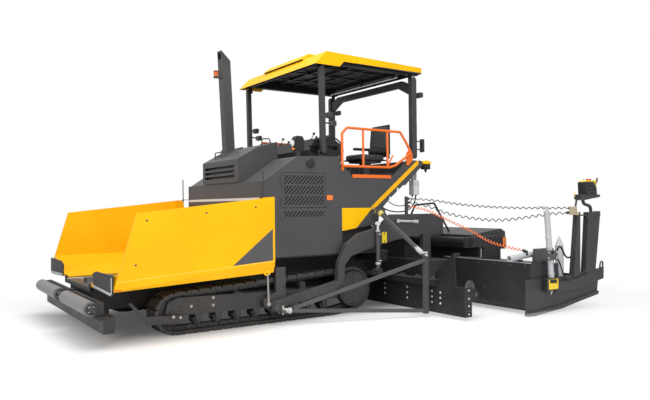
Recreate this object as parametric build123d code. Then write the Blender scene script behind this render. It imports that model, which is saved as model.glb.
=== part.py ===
from build123d import *
import math
import os

# Asphalt paver: millimetres, X forward to the hopper, Y to the left, Z up, ground at zero.

# General sheet thicknesses and clearances
SHEET = 20.0
THIN_SHEET = 12.0
RUNNING_GAP = 0.5
SEAT_GAP = 0.3

# Tracks and running gear
TRACK_INNER = 930.0
TRACK_OUTER = 1250.0
SHOE_COUNT = 45
SHOE_PAD = 25.0
SHOE_PLATE = 45.0
CHAIN_DEPTH = 95.0
LINK_SAG = 3.0
CHAIN_INNER = 1040.0
CHAIN_OUTER = 1140.0
IDLER_X = 2530.0
IDLER_RADIUS = 262.0
SPROCKET_X = -184.0
SPROCKET_Z = 358.0
SPROCKET_RADIUS = 313.0
RISE_X = 150.0
RISE_RADIUS = 110.0
FRAME_PLATE = 25.0
FRAME_INNER = 985.0
FRAME_OUTER = 1195.0
ROLLER_RADIUS = 60.0
ROLLER_PLACES = (280.0, 555.0, 830.0, 1105.0, 1380.0, 1655.0, 1930.0, 2205.0)
CARRIER_RADIUS = 50.0
CARRIER_PLACES = (650.0, 1650.0)
DRIVE_COVER_RADIUS = 252.0
DRIVE_COVER_OUTER = 1262.0

# Chassis, decks and hopper floor
BEAM_INNER = 560.0
BEAM_OUTER = 612.0
BEAM_BOTTOM = 300.0
HOPPER_BEAM_TOP = 590.0
TUNNEL_TOP = 860.0
DECK_TOP = 880.0
CHASSIS_REAR = -880.0
BEAM_FRONT = 3340.0
BULKHEAD_FRONT = 1330.0
HOPPER_FRONT = 3400.0
FLOOR_TOP = 600.0
SLAT_PITCH = 200.0
SLAT_HEIGHT = 25.0

# Hopper wings
WING_HINGE_Y = 640.0
WING_HINGE_Z = 620.0
WING_PIN_RADIUS = 12.0
WING_BARREL_RADIUS = 22.0
WING_REAR = 1370.0
WING_FRONT = 3404.0
WING_OUTER = 1690.0
WING_TOP_REAR = 1689.0
WING_TOP_FRONT = 1507.0
WING_TOP_FRONT_X = 3134.0
WING_NOSE_Z = 601.0
FLAP_THICKNESS = 16.0

# Push beam
PUSH_ROLLER_X = 3566.0
PUSH_ROLLER_Z = 445.0
PUSH_ROLLER_RADIUS = 84.0
PUSH_ROLLER_INNER = 175.0
PUSH_ROLLER_OUTER = 1400.0
PUSH_BEAM_REAR = 3430.0
PUSH_BEAM_FRONT = 3476.0
PUSH_BEAM_BOTTOM = 380.0
PUSH_BEAM_TOP = 510.0
PUSH_PIVOT_RADIUS = 28.0
FRONT_BEAM_HALF = 1550.0

# Upper structure
WALL_OUTER = 1250.0
SEAM_Z = 1535.0
HOOD_LOW_TOP = 1912.0
HOOD_TOP = 2276.0
HOOD_SHOULDER = 2266.0
PLATFORM_TOP = 1900.0
WALL_TOP = 2272.0
SEAT_Z = 2264.0
SEAT_Y = 785.0
SEAT_HALF = 225.0
DASH_HALF = 1040.0
SEAM = 0.5
DOOR_FRONT = 1010.0
DOOR_REAR = 285.0
DOOR_BOTTOM = 1550.0
DOOR_TOP = 2030.0
DOOR_GAP = 6.0

SLOT_PITCH = 58.0
SLOT_WIDTH = 26.0
SLOT_FRONT = 976.0
SLOT_REAR = 312.0
SLOT_ROWS = 3
SLOT_ROW_GAP = 22.0
SLOT_MARGIN = 36.0
PANEL_SLOT_BOTTOM = 1419.0
PANEL_SLOT_TOP = 1500.0
CAP_RADIUS = 75.0

# Exhaust stack
STACK_X = 1043.0
STACK_Y = -300.0
STACK_LEAN = 80.0
STACK_SIZE = 146.0
STACK_TOP = 3985.0
BEACON_FOOT = 3570.0

# Roof and its posts
POST_Y = 1130.0
POST_PIVOT_Z = 2356.0
POST_EAR_INNER = 1063.0
POST_EAR = 14.0
POST_PIN = 20.0
REAR_POST_DEPTH = 100.0
REAR_POST_WIDTH = 80.0
FRONT_POST_DEPTH = 72.0
FRONT_POST_WIDTH = 66.0
HINGE_X = 1013.0
HINGE_Y = 1257.5
HINGE_PIN = 4.0
POST_HEAD_Z = 3560.0
FRONT_PIVOT_X = 250.0
REAR_PIVOT_X = -1500.0
ROOF_HALF = 1204.0

# Tow arms and screed
ARM_INNER = 1320.0
ARM_OUTER = 1400.0
TOW_X = 1200.0
TOW_Z = 235.0
TOW_PIN_RADIUS = 45.0
MAIN_HALF = 1500.0
MAIN_FRONT = -1450.0
MAIN_REAR = -1950.0
MAIN_TOP = 700.0
EXT_FRONT = -1970.0
EXT_REAR = -2600.0
EXT_TOP = 740.0
EXT_INNER = 1320.0
EXT_OUTER = 3000.0
END_PLATE = 25.0
GUIDE_RADIUS = 75.0
GUIDE_Z = 1000.0
GUIDE_LEFT_X = -1700.0
GUIDE_RIGHT_X = -1880.0

# Screed lift cylinders
LIFT_X = -500.0
LIFT_Y = 1450.0
LIFT_FOOT_Z = 625.0
LIFT_EYE_Z = 1300.0
LIFT_PIN = 16.0
LIFT_BARREL_RADIUS = 29.0
LIFT_ROD_RADIUS = 16.0
LIFT_BARREL_TOP = 1180.0

# Coiled cords between the tow arm and the end gate
COIL_RADIUS = 24.0
SOCKET_LENGTH = 45.0
CORD_GAP = 0.5
UPPER_CORD = (
    # x, y, z from the post to the control box
    (-1190.0, 1380.0, 1665.0),
    (-1411.0, 1594.0, 1650.0),
    (-1741.0, 1890.0, 1565.0),
    (-2148.0, 2255.0, 1517.0),
    (-2549.0, 2615.0, 1500.0),
    (-2926.0, 2950.0, 1497.0),
)
LOWER_CORD = (
    # x, y, z from the post to the control box
    (-1190.0, 1380.0, 1605.0),
    (-1370.0, 1556.0, 1565.0),
    (-1560.0, 1728.0, 1450.0),
    (-1741.0, 1890.0, 1388.0),
    (-1945.0, 2074.0, 1342.0),
    (-2148.0, 2255.0, 1320.0),
    (-2350.0, 2436.0, 1338.0),
    (-2549.0, 2615.0, 1378.0),
    (-2749.0, 2794.0, 1415.0),
    (-2900.0, 2929.0, 1428.0),
)
ORANGE_CORD = (
    # x, y, z from the post down to the extension's power tube
    (-1190.0, 1380.0, 1545.0),
    (-1300.0, 1545.0, 1520.0),
    (-1415.0, 1717.0, 1426.0),
    (-1519.0, 1885.0, 1328.0),
    (-1695.0, 2163.0, 1179.0),
    (-1819.0, 2361.0, 1028.0),
    (-1928.0, 2546.0, 959.0),
    (-2065.0, 2790.0, 902.0),
)

# End gate, its tower and the edge light pole
GATE_FOOT = 30.0
TOWER_Y = 3000.0
TOWER_HALF = 42.0
POLE_Y = 3070.0
POLE_RADIUS = 40.0
POLE_TOP = (-2250.0, POLE_Y, 1463.0)
POLE_FOOT = (-2350.0, POLE_Y, 361.0)
TUBE_Y = 2800.0
TUBE_RADIUS = 42.0

# Bracket of the upper brace, through the wall's rear corner
BRACE_BLOCK_REAR = -620.0
BRACE_BLOCK_FRONT = -550.0
BRACE_BLOCK_BOTTOM = 1450.0
BRACE_BLOCK_TOP = 1510.0
BRACE_BAR = 48.0

# Augers and their tunnel
AUGER_X = -1230.0
AUGER_Z = 330.0
AUGER_RADIUS = 180.0
AUGER_SHAFT = 45.0
AUGER_INNER = 60.0
AUGER_OUTER = 2640.0
FLIGHT_PITCH = 350.0
FLIGHT_START = 190.0
FLIGHT_THICKNESS = 15.0
STUB_RADIUS = 25.0
TUNNEL_X = -960.0
TUNNEL_OUTER = AUGER_OUTER + 100.0
TUNNEL_BOTTOM = 49.0
TUNNEL_HEIGHT = 400.0
LEDGE_WIDTH = 130.0
FLANGE_WIDTH = 110.0
FLANGE_HOLE = 9.0
FLANGE_HOLE_ROWS = (-35.0, -75.0)
FLANGE_HOLE_Z = (130.0, 370.0)


def block(x_low, x_high, y_low, y_high, z_low, z_high):
    """A box between its limits."""
    size = (x_high - x_low, y_high - y_low, z_high - z_low)
    centre = ((x_low + x_high) / 2, (y_low + y_high) / 2, (z_low + z_high) / 2)
    return Pos(*centre) * Box(*size)


def side_face(points, radius=0.0):
    """A face in the XZ plane from (x, z) corners."""
    places = [(x, 0, z) for x, z in points]
    if radius:
        return make_face(FilletPolyline(*places, radius=radius, close=True))
    return make_face(Polyline(*places, close=True))


def side_plate(points, y_low, y_high, radius=0.0):
    """An (x, z) outline as thick as from y_low to y_high."""
    face = side_face(points, radius)
    return Pos(0, y_low, 0) * extrude(face, amount=y_high - y_low, dir=(0, 1, 0))


def cross_plate(points, x_low, x_high):
    """A (y, z) outline as thick as from x_low to x_high."""
    face = make_face(Polyline(*[(0, y, z) for y, z in points], close=True))
    return Pos(x_low, 0, 0) * extrude(face, amount=x_high - x_low, dir=(1, 0, 0))


def rod(start, end, radius, bore=0.0):
    """A round bar or tube between two points."""
    start, end = Vector(*start), Vector(*end)
    plane = Plane(origin=start, z_dir=end - start)
    face = Circle(radius)
    if bore:
        face = face - Circle(bore)
    return extrude(plane * face, amount=(end - start).length)


def square_bar(start, end, size, wall=0.0):
    """A square bar or tube between two points, with two faces upright."""
    start, end = Vector(*start), Vector(*end)
    along = end - start
    side = Vector(0, 0, 1).cross(along)
    x_dir = side if side.length > 1e-6 else Vector(1, 0, 0)
    plane = Plane(origin=start, x_dir=x_dir, z_dir=along)
    face = Rectangle(size, size)
    if wall:
        face = face - Rectangle(size - 2 * wall, size - 2 * wall)
    return extrude(plane * face, amount=along.length)


def mirrored(shape):
    """The same piece on the other side of the machine."""
    return mirror(shape, about=Plane.XZ)


def both(shape):
    """The piece and its mirror image."""
    return shape + mirrored(shape)


PIECES = {}


def keep(name, shape):
    """Files a finished piece under its name."""
    PIECES[name] = shape


def keep_pair(name, left):
    """Files a left piece and its mirror image as the right one."""
    keep(name + "_left", left)
    keep(name + "_right", mirrored(left))


# Track loop: outer path round three wheels

TRACK_WHEELS = (
    # x, z, radius, going round with the outside on the left
    (IDLER_X, IDLER_RADIUS, IDLER_RADIUS),
    (SPROCKET_X, SPROCKET_Z, SPROCKET_RADIUS),
    (RISE_X, RISE_RADIUS, RISE_RADIUS),
)


def track_path(inset):
    """Straight runs and arcs of the loop, as (length, function) pairs, at a depth under its outside."""
    wheels = [(x, z, radius - inset) for x, z, radius in TRACK_WHEELS]
    runs = []
    for index, (x1, z1, r1) in enumerate(wheels):
        x2, z2, r2 = wheels[(index + 1) % len(wheels)]
        heading = math.atan2(z2 - z1, x2 - x1)
        distance = math.hypot(x2 - x1, z2 - z1)
        normal = heading - math.acos((r1 - r2) / distance)
        runs.append((x1, z1, r1, x2, z2, r2, normal))
    pieces = []
    for index, (x1, z1, r1, x2, z2, r2, normal) in enumerate(runs):
        start = (x1 + r1 * math.cos(normal), z1 + r1 * math.sin(normal))
        end = (x2 + r2 * math.cos(normal), z2 + r2 * math.sin(normal))
        pieces.append(("line", start, end))
        following = runs[(index + 1) % len(runs)][6]
        turn = (following - normal) % (2 * math.pi)
        pieces.append(("arc", (x2, z2), r2, normal, turn))
    return pieces


def path_point(pieces, share):
    """The point and outward normal at a share of the loop's length."""
    lengths = []
    for piece in pieces:
        if piece[0] == "line":
            lengths.append(math.dist(piece[1], piece[2]))
        else:
            lengths.append(piece[2] * piece[4])
    place = (share % 1.0) * sum(lengths)
    for piece, length in zip(pieces, lengths):
        if place <= length:
            break
        place -= length
    if piece[0] == "line":
        (x1, z1), (x2, z2) = piece[1], piece[2]
        part = place / length
        angle = math.atan2(z2 - z1, x2 - x1) - math.pi / 2
        return x1 + (x2 - x1) * part, z1 + (z2 - z1) * part, angle
    _, (x, z), radius, first, turn = piece
    angle = first + turn * place / length
    return x + radius * math.cos(angle), z + radius * math.sin(angle), angle


def track_outline(steps):
    """Loop points from a table of (share of a shoe's pitch, depth under the outside)."""
    pieces = track_path(0.0)
    points = []
    for shoe in range(SHOE_COUNT):
        for share, depth in steps:
            x, z, angle = path_point(pieces, (shoe + share) / SHOE_COUNT)
            points.append((x - depth * math.cos(angle), z - depth * math.sin(angle)))
    return points


def loop_solid(outer_steps, inner_steps, y_low, y_high):
    """A band between two outlines of the track loop."""
    outer = side_plate(track_outline(outer_steps), y_low, y_high)
    inner = side_plate(track_outline(inner_steps), y_low - 1, y_high + 1)
    return outer - inner


def make_track():
    """One crawler track: padded shoes on an endless chain."""
    pad_steps = ((0.04, SHOE_PAD), (0.10, 0.0), (0.90, 0.0), (0.96, SHOE_PAD))
    back_steps = ((0.0, SHOE_PLATE), (0.5, SHOE_PLATE))
    link_steps = ((0.0, CHAIN_DEPTH), (0.5, CHAIN_DEPTH))
    shoes = loop_solid(pad_steps, back_steps, TRACK_INNER, TRACK_OUTER)
    link_top = ((0.0, SHOE_PLATE - 1), (0.5, SHOE_PLATE - 1))
    chain = loop_solid(link_top, link_steps, CHAIN_INNER, CHAIN_OUTER)
    return shoes + chain


def make_running_gear():
    """Track frame with its rollers, idler wheel, sprocket and drive cover."""
    frame_line = (
        # x, z
        (2480, 452),
        (2600, 400),
        (2640, 262),
        (2560, 232),
        (1094, 210),
        (60, 235),
        (60, 400),
        (1094, 421),
    )
    gear = side_plate(frame_line, FRAME_OUTER - FRAME_PLATE, FRAME_OUTER, radius=20)
    gear += side_plate(frame_line, FRAME_INNER, FRAME_INNER + FRAME_PLATE, radius=20)
    deck = ((2300, 400), (2300, 375), (80, 375), (80, 400))
    gear += side_plate(deck, FRAME_INNER, FRAME_OUTER)
    for x in ROLLER_PLACES:
        z = CHAIN_DEPTH + ROLLER_RADIUS
        gear += rod((x, CHAIN_INNER - 25, z), (x, CHAIN_OUTER + 25, z), ROLLER_RADIUS)
        gear += rod((x, FRAME_INNER, z), (x, FRAME_OUTER + 8, z), ROLLER_RADIUS * 0.45)
        ear = ((x - 50, 260), (x + 50, 260), (x + 32, 125), (x - 32, 125))
        gear += side_plate(ear, FRAME_INNER, FRAME_INNER + FRAME_PLATE)
        gear += side_plate(ear, FRAME_OUTER - FRAME_PLATE, FRAME_OUTER)
    idler = IDLER_RADIUS - CHAIN_DEPTH - LINK_SAG
    gear += rod((IDLER_X, CHAIN_INNER + 5, IDLER_RADIUS), (IDLER_X, CHAIN_OUTER - 5, IDLER_RADIUS), idler)
    gear += rod((IDLER_X, FRAME_INNER, IDLER_RADIUS), (IDLER_X, FRAME_OUTER + 10, IDLER_RADIUS), 45)
    for x in CARRIER_PLACES:
        part = (IDLER_X - x) / (IDLER_X - SPROCKET_X)
        run_top = 2 * IDLER_RADIUS + part * (SPROCKET_Z + SPROCKET_RADIUS - 2 * IDLER_RADIUS)
        z = run_top - CHAIN_DEPTH - CARRIER_RADIUS - LINK_SAG
        gear += rod((x, CHAIN_INNER, z), (x, CHAIN_OUTER, z), CARRIER_RADIUS)
        gear += rod((x, CHAIN_INNER - 10, z), (x, FRAME_OUTER - 5, z), 22)
        gear += block(x - 45, x + 45, FRAME_OUTER - FRAME_PLATE, FRAME_OUTER - 5, 390, z + 30)
    sprocket = SPROCKET_RADIUS - CHAIN_DEPTH - LINK_SAG
    hub = (SPROCKET_X, SPROCKET_Z)
    gear += rod((hub[0], CHAIN_INNER + 10, hub[1]), (hub[0], CHAIN_OUTER - 10, hub[1]), sprocket)
    gear += rod((hub[0], CHAIN_OUTER + 1, hub[1]), (hub[0], DRIVE_COVER_OUTER, hub[1]), DRIVE_COVER_RADIUS)
    gear += rod((hub[0], CHAIN_OUTER - 10, hub[1]), (hub[0], CHAIN_OUTER + 1, hub[1]), 130)
    gear += rod((hub[0], BEAM_OUTER, hub[1]), (hub[0], CHAIN_INNER + 10, hub[1]), 130)
    carrier = ((60, 235), (60, 400), (-180, 440), (-180, 280))
    gear += side_plate(carrier, FRAME_INNER, FRAME_INNER + FRAME_PLATE)
    for x in (500, 2050):
        gear += block(x - 110, x + 110, BEAM_OUTER, FRAME_INNER, 250, 380)
    # Guard plate outside the front of the track, on two bosses
    guard = ((3110, 445), (3075, 452), (2900, 268), (2460, 244), (2337, 150), (2460, 146), (2891, 166), (2950, 245))
    gear += side_plate(guard, TRACK_OUTER + 8, TRACK_OUTER + 20)
    gear += rod((2470, FRAME_OUTER - 5, 222), (2470, TRACK_OUTER + 10, 222), 24)
    gear += rod((2560, FRAME_OUTER - 5, 245), (2560, TRACK_OUTER + 10, 245), 20)
    return gear


def make_main_frame():
    """Two deep side beams with their bottom pan, the rear sill and the brackets of the lift cylinders."""
    outline = (
        (CHASSIS_REAR, BEAM_BOTTOM),
        (BEAM_FRONT, BEAM_BOTTOM),
        (BEAM_FRONT, HOPPER_BEAM_TOP),
        (BULKHEAD_FRONT - SHEET, HOPPER_BEAM_TOP),
        (BULKHEAD_FRONT - SHEET, TUNNEL_TOP),
        (CHASSIS_REAR, TUNNEL_TOP),
    )
    frame = both(side_plate(outline, BEAM_INNER, BEAM_OUTER))
    frame += block(CHASSIS_REAR, BEAM_FRONT, -BEAM_INNER, BEAM_INNER, BEAM_BOTTOM, BEAM_BOTTOM + SHEET)
    frame += block(BEAM_FRONT - SHEET, BEAM_FRONT, -BEAM_INNER, BEAM_INNER, BEAM_BOTTOM, FLOOR_TOP - 60)
    tunnel_top = TUNNEL_BOTTOM + TUNNEL_HEIGHT
    frame += block(TUNNEL_X, CHASSIS_REAR, -BEAM_OUTER, BEAM_OUTER, tunnel_top, tunnel_top + 110)
    frame += block(CHASSIS_REAR, CHASSIS_REAR + 60, -BEAM_INNER, BEAM_INNER, tunnel_top - 30, tunnel_top + 110)
    # Chain case of the auger drive, with the stub that the auger shafts are pushed on
    rear = AUGER_X - 70
    case = ((rear, AUGER_Z - 70), (rear, AUGER_Z + 70), (AUGER_X + 50, tunnel_top + 110),
            (CHASSIS_REAR, tunnel_top + 110), (CHASSIS_REAR, tunnel_top), (AUGER_X + 90, tunnel_top),
            (AUGER_X + 90, AUGER_Z - 70))
    frame += side_plate(case, -AUGER_INNER + 10, AUGER_INNER - 10, radius=30)
    frame += rod((AUGER_X, -155, AUGER_Z), (AUGER_X, 155, AUGER_Z), STUB_RADIUS)
    # Brackets and pins of the lift cylinders
    inner, outer = LIFT_Y - 56, LIFT_Y + 58
    frame += both(block(LIFT_X - 70, LIFT_X + 50, BEAM_OUTER, outer, LIFT_FOOT_Z - 80, LIFT_FOOT_Z - 40))
    ear = ((LIFT_X - 45, LIFT_FOOT_Z - 45), (LIFT_X + 45, LIFT_FOOT_Z - 45), (LIFT_X + 30, LIFT_FOOT_Z + 25),
           (LIFT_X - 30, LIFT_FOOT_Z + 25))
    for y_low in (inner, outer - 15):
        frame += both(side_plate(ear, y_low, y_low + 15, radius=8))
    pin = rod((LIFT_X, inner, LIFT_FOOT_Z), (LIFT_X, outer, LIFT_FOOT_Z), LIFT_PIN - RUNNING_GAP)
    return frame + both(pin)


def make_decks():
    """Fender deck over the tracks with the cross boxes behind it."""
    half = WALL_OUTER - SHEET
    deck = block(CHASSIS_REAR, BULKHEAD_FRONT - SHEET, -half, half, TUNNEL_TOP, DECK_TOP)
    return deck + both(block(CHASSIS_REAR, CHASSIS_REAR + 180, BEAM_OUTER, half - 30, 720, TUNNEL_TOP))


def make_bulkhead():
    """Hopper bulkhead with the front sill and the two hinge pins of the wings between them."""
    half = WALL_OUTER - SHEET
    wide = WING_HINGE_Y + 50
    outline = ((-half, 700), (-wide, 700), (-wide, 570), (-BEAM_INNER, 570), (-BEAM_INNER, TUNNEL_TOP),
               (BEAM_INNER, TUNNEL_TOP), (BEAM_INNER, 570), (wide, 570), (wide, 700), (half, 700),
               (half, DECK_TOP), (-half, DECK_TOP))
    plate = cross_plate(outline, BULKHEAD_FRONT - SHEET, BULKHEAD_FRONT)
    plate -= both(block(BULKHEAD_FRONT - 2 * SHEET, BULKHEAD_FRONT + SHEET, BEAM_INNER, BEAM_OUTER, 500,
                        HOPPER_BEAM_TOP))
    for side in (-1, 1):
        y = side * WING_HINGE_Y
        plate += rod((BULKHEAD_FRONT - 10, y, WING_HINGE_Z), (HOPPER_FRONT - 5, y, WING_HINGE_Z), WING_PIN_RADIUS)
    plate += block(HOPPER_FRONT - SHEET, HOPPER_FRONT, -WING_HINGE_Y - 30, WING_HINGE_Y + 30, 545, FLOOR_TOP)
    plate += both(block(HOPPER_FRONT - SHEET, HOPPER_FRONT, WING_HINGE_Y - 30, WING_HINGE_Y + 30, FLOOR_TOP,
                        FLOOR_TOP + 45))
    return plate


def make_conveyor():
    """Two bar feeders on the hopper floor."""
    floor = block(CHASSIS_REAR, 3378, -BEAM_INNER, BEAM_INNER, FLOOR_TOP - SHEET, FLOOR_TOP)
    cover = ((-30, FLOOR_TOP), (30, FLOOR_TOP), (18, FLOOR_TOP + 60), (-18, FLOOR_TOP + 60))
    floor += cross_plate(cover, CHASSIS_REAR, 3300)
    count = int((3240 - CHASSIS_REAR) / SLAT_PITCH)
    for index in range(count):
        x = CHASSIS_REAR + 80 + index * SLAT_PITCH
        floor += both(block(x, x + 40, 45, BEAM_INNER - 12, FLOOR_TOP, FLOOR_TOP + SLAT_HEIGHT))
    return floor


def wing_section(z_low, z_fold, z_top):
    """Corners (y, z) across a wing: floor from the hinge, angled skirt, outer wall."""
    inner = WING_OUTER - SHEET
    return (
        (WING_HINGE_Y + 10, WING_HINGE_Z - 14),
        (WING_OUTER - 50, z_low),
        (WING_OUTER, z_fold),
        (WING_OUTER, z_top),
        (inner, z_top),
        (inner, 850),
        (WING_HINGE_Y + 10, WING_HINGE_Z + 14),
    )


def make_wing():
    """A folding hopper side: sloped floor, outer wall, rear wall and hinge barrel."""
    rear_x, front_x = WING_REAR, WING_FRONT
    top_fall = (WING_TOP_REAR - WING_TOP_FRONT) / (WING_TOP_FRONT_X - WING_REAR)
    top_front = WING_TOP_REAR - top_fall * (front_x - rear_x)
    rear = Polyline(*[(rear_x, y, z) for y, z in wing_section(727, 874, WING_TOP_REAR)], close=True)
    front = Polyline(*[(front_x, y, z) for y, z in wing_section(636, 651, top_front)], close=True)
    wing = loft([make_face(rear), make_face(front)], ruled=True)
    nose = ((WING_TOP_FRONT_X, WING_TOP_FRONT), (WING_TOP_FRONT_X, 1800), (3600, 1800), (3600, 500), (3380, 500),
            (3380, 690))
    wing -= side_plate(nose, 600, 1800)
    back = cross_plate(((1000, 720), (1680, 800), (1680, WING_TOP_REAR), (1400, WING_TOP_REAR), (1000, 900)),
                       rear_x, rear_x + THIN_SHEET)
    wing += back
    barrel_start = (rear_x, WING_HINGE_Y, WING_HINGE_Z)
    barrel_end = (3370, WING_HINGE_Y, WING_HINGE_Z)
    wing -= rod((rear_x - 5, WING_HINGE_Y, WING_HINGE_Z), (3450, WING_HINGE_Y, WING_HINGE_Z), WING_BARREL_RADIUS)
    wing += rod(barrel_start, barrel_end, WING_BARREL_RADIUS)
    wing -= rod((rear_x - 5, WING_HINGE_Y, WING_HINGE_Z), (3450, WING_HINGE_Y, WING_HINGE_Z),
                WING_PIN_RADIUS + RUNNING_GAP)
    lug = rod((1470, WING_OUTER - 48, 735), (1470, WING_OUTER - 24, 735), 45)
    lug -= rod((1470, WING_OUTER - 60, 715), (1470, WING_OUTER + 20, 715), 14)
    # Transport lock rod that hangs from the lug
    hanger = rod((1462, WING_OUTER - 36, 715), (1450, WING_OUTER - 36, 340), 11)
    hanger += rod((1449, WING_OUTER - 46, 330), (1449, WING_OUTER - 26, 330), 26)
    return wing + lug + hanger


def make_flap():
    """Rubber flap across the front of a wing."""
    outline = ((805, 777), (945, 818), (1636, 824), (1640, 612), (1589, 589), (846, 613))
    return cross_plate(outline, 3380 + SEAT_GAP, 3380 + SEAT_GAP + FLAP_THICKNESS)


def make_front_beam():
    """Bumper beam under the hopper with the push beam's pivot pin."""
    line = ((3341, 175), (3470, 175), (3470, 300), (3440, 360), (3341, 360))
    beam = side_plate(line, -FRONT_BEAM_HALF, FRONT_BEAM_HALF)
    beam += block(3150, 3400, -BEAM_OUTER, BEAM_OUTER, 230, BEAM_BOTTOM)
    pivot_x = (PUSH_BEAM_REAR + PUSH_BEAM_FRONT) / 2
    beam += block(3345, 3500, -60, 60, 340, 372)
    beam += rod((pivot_x, 0, 370), (pivot_x, 0, 520), PUSH_PIVOT_RADIUS)
    beam += rod((pivot_x, 0, 515.5), (pivot_x, 0, 528), PUSH_PIVOT_RADIUS + 15)
    return beam


def make_push_beam():
    """Swinging beam that carries the two truck push rollers."""
    beam = block(PUSH_BEAM_REAR, PUSH_BEAM_FRONT, -1440, 1440, PUSH_BEAM_BOTTOM, PUSH_BEAM_TOP)
    cheek = ((PUSH_BEAM_FRONT - 5, PUSH_BEAM_BOTTOM), (3585, 385), (3632, 445), (3590, 505),
             (PUSH_BEAM_FRONT - 5, PUSH_BEAM_TOP))
    for low, high in ((PUSH_ROLLER_OUTER + 8, PUSH_ROLLER_OUTER + 34), (PUSH_ROLLER_INNER - 34, PUSH_ROLLER_INNER - 8)):
        beam += both(side_plate(cheek, low, high, radius=15))
    pivot_x = (PUSH_BEAM_REAR + PUSH_BEAM_FRONT) / 2
    beam -= rod((pivot_x, 0, 370), (pivot_x, 0, 530), PUSH_PIVOT_RADIUS + 0.8)
    for side in (-1, 1):
        start = (PUSH_ROLLER_X, side * (PUSH_ROLLER_INNER - 30), PUSH_ROLLER_Z)
        end = (PUSH_ROLLER_X, side * (PUSH_ROLLER_OUTER + 40), PUSH_ROLLER_Z)
        beam += rod(start, end, 20)
    return beam


def make_push_roller():
    """One smooth push roller, turning on its axle."""
    y_low, y_high = PUSH_ROLLER_INNER, PUSH_ROLLER_OUTER
    roller = rod((PUSH_ROLLER_X, y_low, PUSH_ROLLER_Z), (PUSH_ROLLER_X, y_high, PUSH_ROLLER_Z), PUSH_ROLLER_RADIUS,
                 20 + RUNNING_GAP)
    return roller


def make_side_wall():
    """Upper side wall with the sloped rear band, the entry cut-out and the door opening."""
    outline = (
        (1330, SEAM_Z), (1330, HOOD_LOW_TOP), (1285, 1915), (744, 2262), (374, HOOD_TOP), (20, HOOD_TOP),
        (27, 2180), (-160, 2046), (-187, 1985), (-932, 1985), (-1178, 2192), (-1261, WALL_TOP),
        (-1560, WALL_TOP), (-1612, 2207), (-901, 1667), (-840, 1690), (-627, SEAM_Z),
    )
    wall = side_plate(outline, WALL_OUTER - SHEET, WALL_OUTER)
    door = block(DOOR_REAR - DOOR_GAP, DOOR_FRONT + DOOR_GAP, WALL_OUTER - 40, WALL_OUTER + 10,
                 DOOR_BOTTOM - DOOR_GAP, DOOR_TOP + DOOR_GAP)
    wall -= door
    for z in (DOOR_BOTTOM + 60, DOOR_TOP - 130):
        wall += rod((HINGE_X, HINGE_Y, z - 15), (HINGE_X, HINGE_Y, z + 85), HINGE_PIN)
        for end in (z - 15, z + 71):
            wall += block(HINGE_X, HINGE_X + 32, WALL_OUTER, HINGE_Y + 4, end, end + 14)
    # Lower corner behind the yellow panel, notched for the brace bracket
    corner = ((-565 - SEAM, SEAM_Z), (-544 - SEAM, 1514 - SEAM), (-260 - SEAM, 1237 - SEAM), (-670, 1285), (-700, 1480),
              (-905, 1669), (-840, 1692), (-627, SEAM_Z + SEAM))
    wall += side_plate(corner, WALL_OUTER - SHEET, WALL_OUTER)
    wall -= block(BRACE_BLOCK_REAR - 2, BRACE_BLOCK_FRONT + 2, WALL_OUTER - 40, WALL_OUTER + 10,
                  BRACE_BLOCK_BOTTOM - 2, BRACE_BLOCK_TOP + 2)
    # Round filler cap
    wall += rod((544, WALL_OUTER, 2171), (544, WALL_OUTER + 12, 2171), CAP_RADIUS)
    return wall


def slanted_slots(z_low, z_high):
    """One row of cooling slots that lean back at 45 degrees, cut off at both ends of the row."""
    rise = z_high - z_low
    row = []
    frame = block(SLOT_REAR, SLOT_FRONT, WALL_OUTER - 2 * SHEET, WALL_OUTER + SHEET, z_low, z_high)
    for index in range(int((SLOT_FRONT - SLOT_REAR + rise) / SLOT_PITCH) + 1):
        x = SLOT_REAR + SLOT_WIDTH + index * SLOT_PITCH
        corners = ((x, z_low), (x - SLOT_WIDTH, z_low), (x - SLOT_WIDTH - rise, z_high), (x - rise, z_high))
        slot = side_plate(corners, WALL_OUTER - 1.5 * SHEET, WALL_OUTER + 0.5 * SHEET) & frame
        if slot:
            row += [solid for solid in slot.solids() if solid.volume > 10000]
    return row


def make_lower_panel():
    """Lower side panel under the seam, with one row of cooling slots."""
    panel = block(0, BULKHEAD_FRONT, WALL_OUTER - SHEET, WALL_OUTER, DECK_TOP, SEAM_Z - SEAM)
    return panel - slanted_slots(PANEL_SLOT_BOTTOM, PANEL_SLOT_TOP)


def make_rear_panel():
    """Yellow corner panel behind the lower panel."""
    top = SEAM_Z - SEAM
    outline = ((-SEAM, top), (-SEAM, 1202), (-260, 1237), (-544, 1514), (-565, top))
    return side_plate(outline, WALL_OUTER - SHEET, WALL_OUTER)


def make_grille_door():
    """Service door with its louvre slots."""
    door = block(DOOR_REAR, DOOR_FRONT, WALL_OUTER - SHEET, WALL_OUTER, DOOR_BOTTOM, DOOR_TOP)
    step = (DOOR_TOP - DOOR_BOTTOM - 2 * SLOT_MARGIN + SLOT_ROW_GAP) / SLOT_ROWS
    for index in range(SLOT_ROWS):
        z_low = DOOR_BOTTOM + SLOT_MARGIN + index * step
        door -= slanted_slots(z_low, z_low + step - SLOT_ROW_GAP)
    for z in (DOOR_BOTTOM + 60, DOOR_TOP - 130):
        door += block(DOOR_FRONT - 34, HINGE_X - 4.5, WALL_OUTER, WALL_OUTER + 6, z, z + 70)
        door += rod((HINGE_X, HINGE_Y, z), (HINGE_X, HINGE_Y, z + 70), HINGE_PIN + 4, HINGE_PIN + RUNNING_GAP)
    return door


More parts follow.
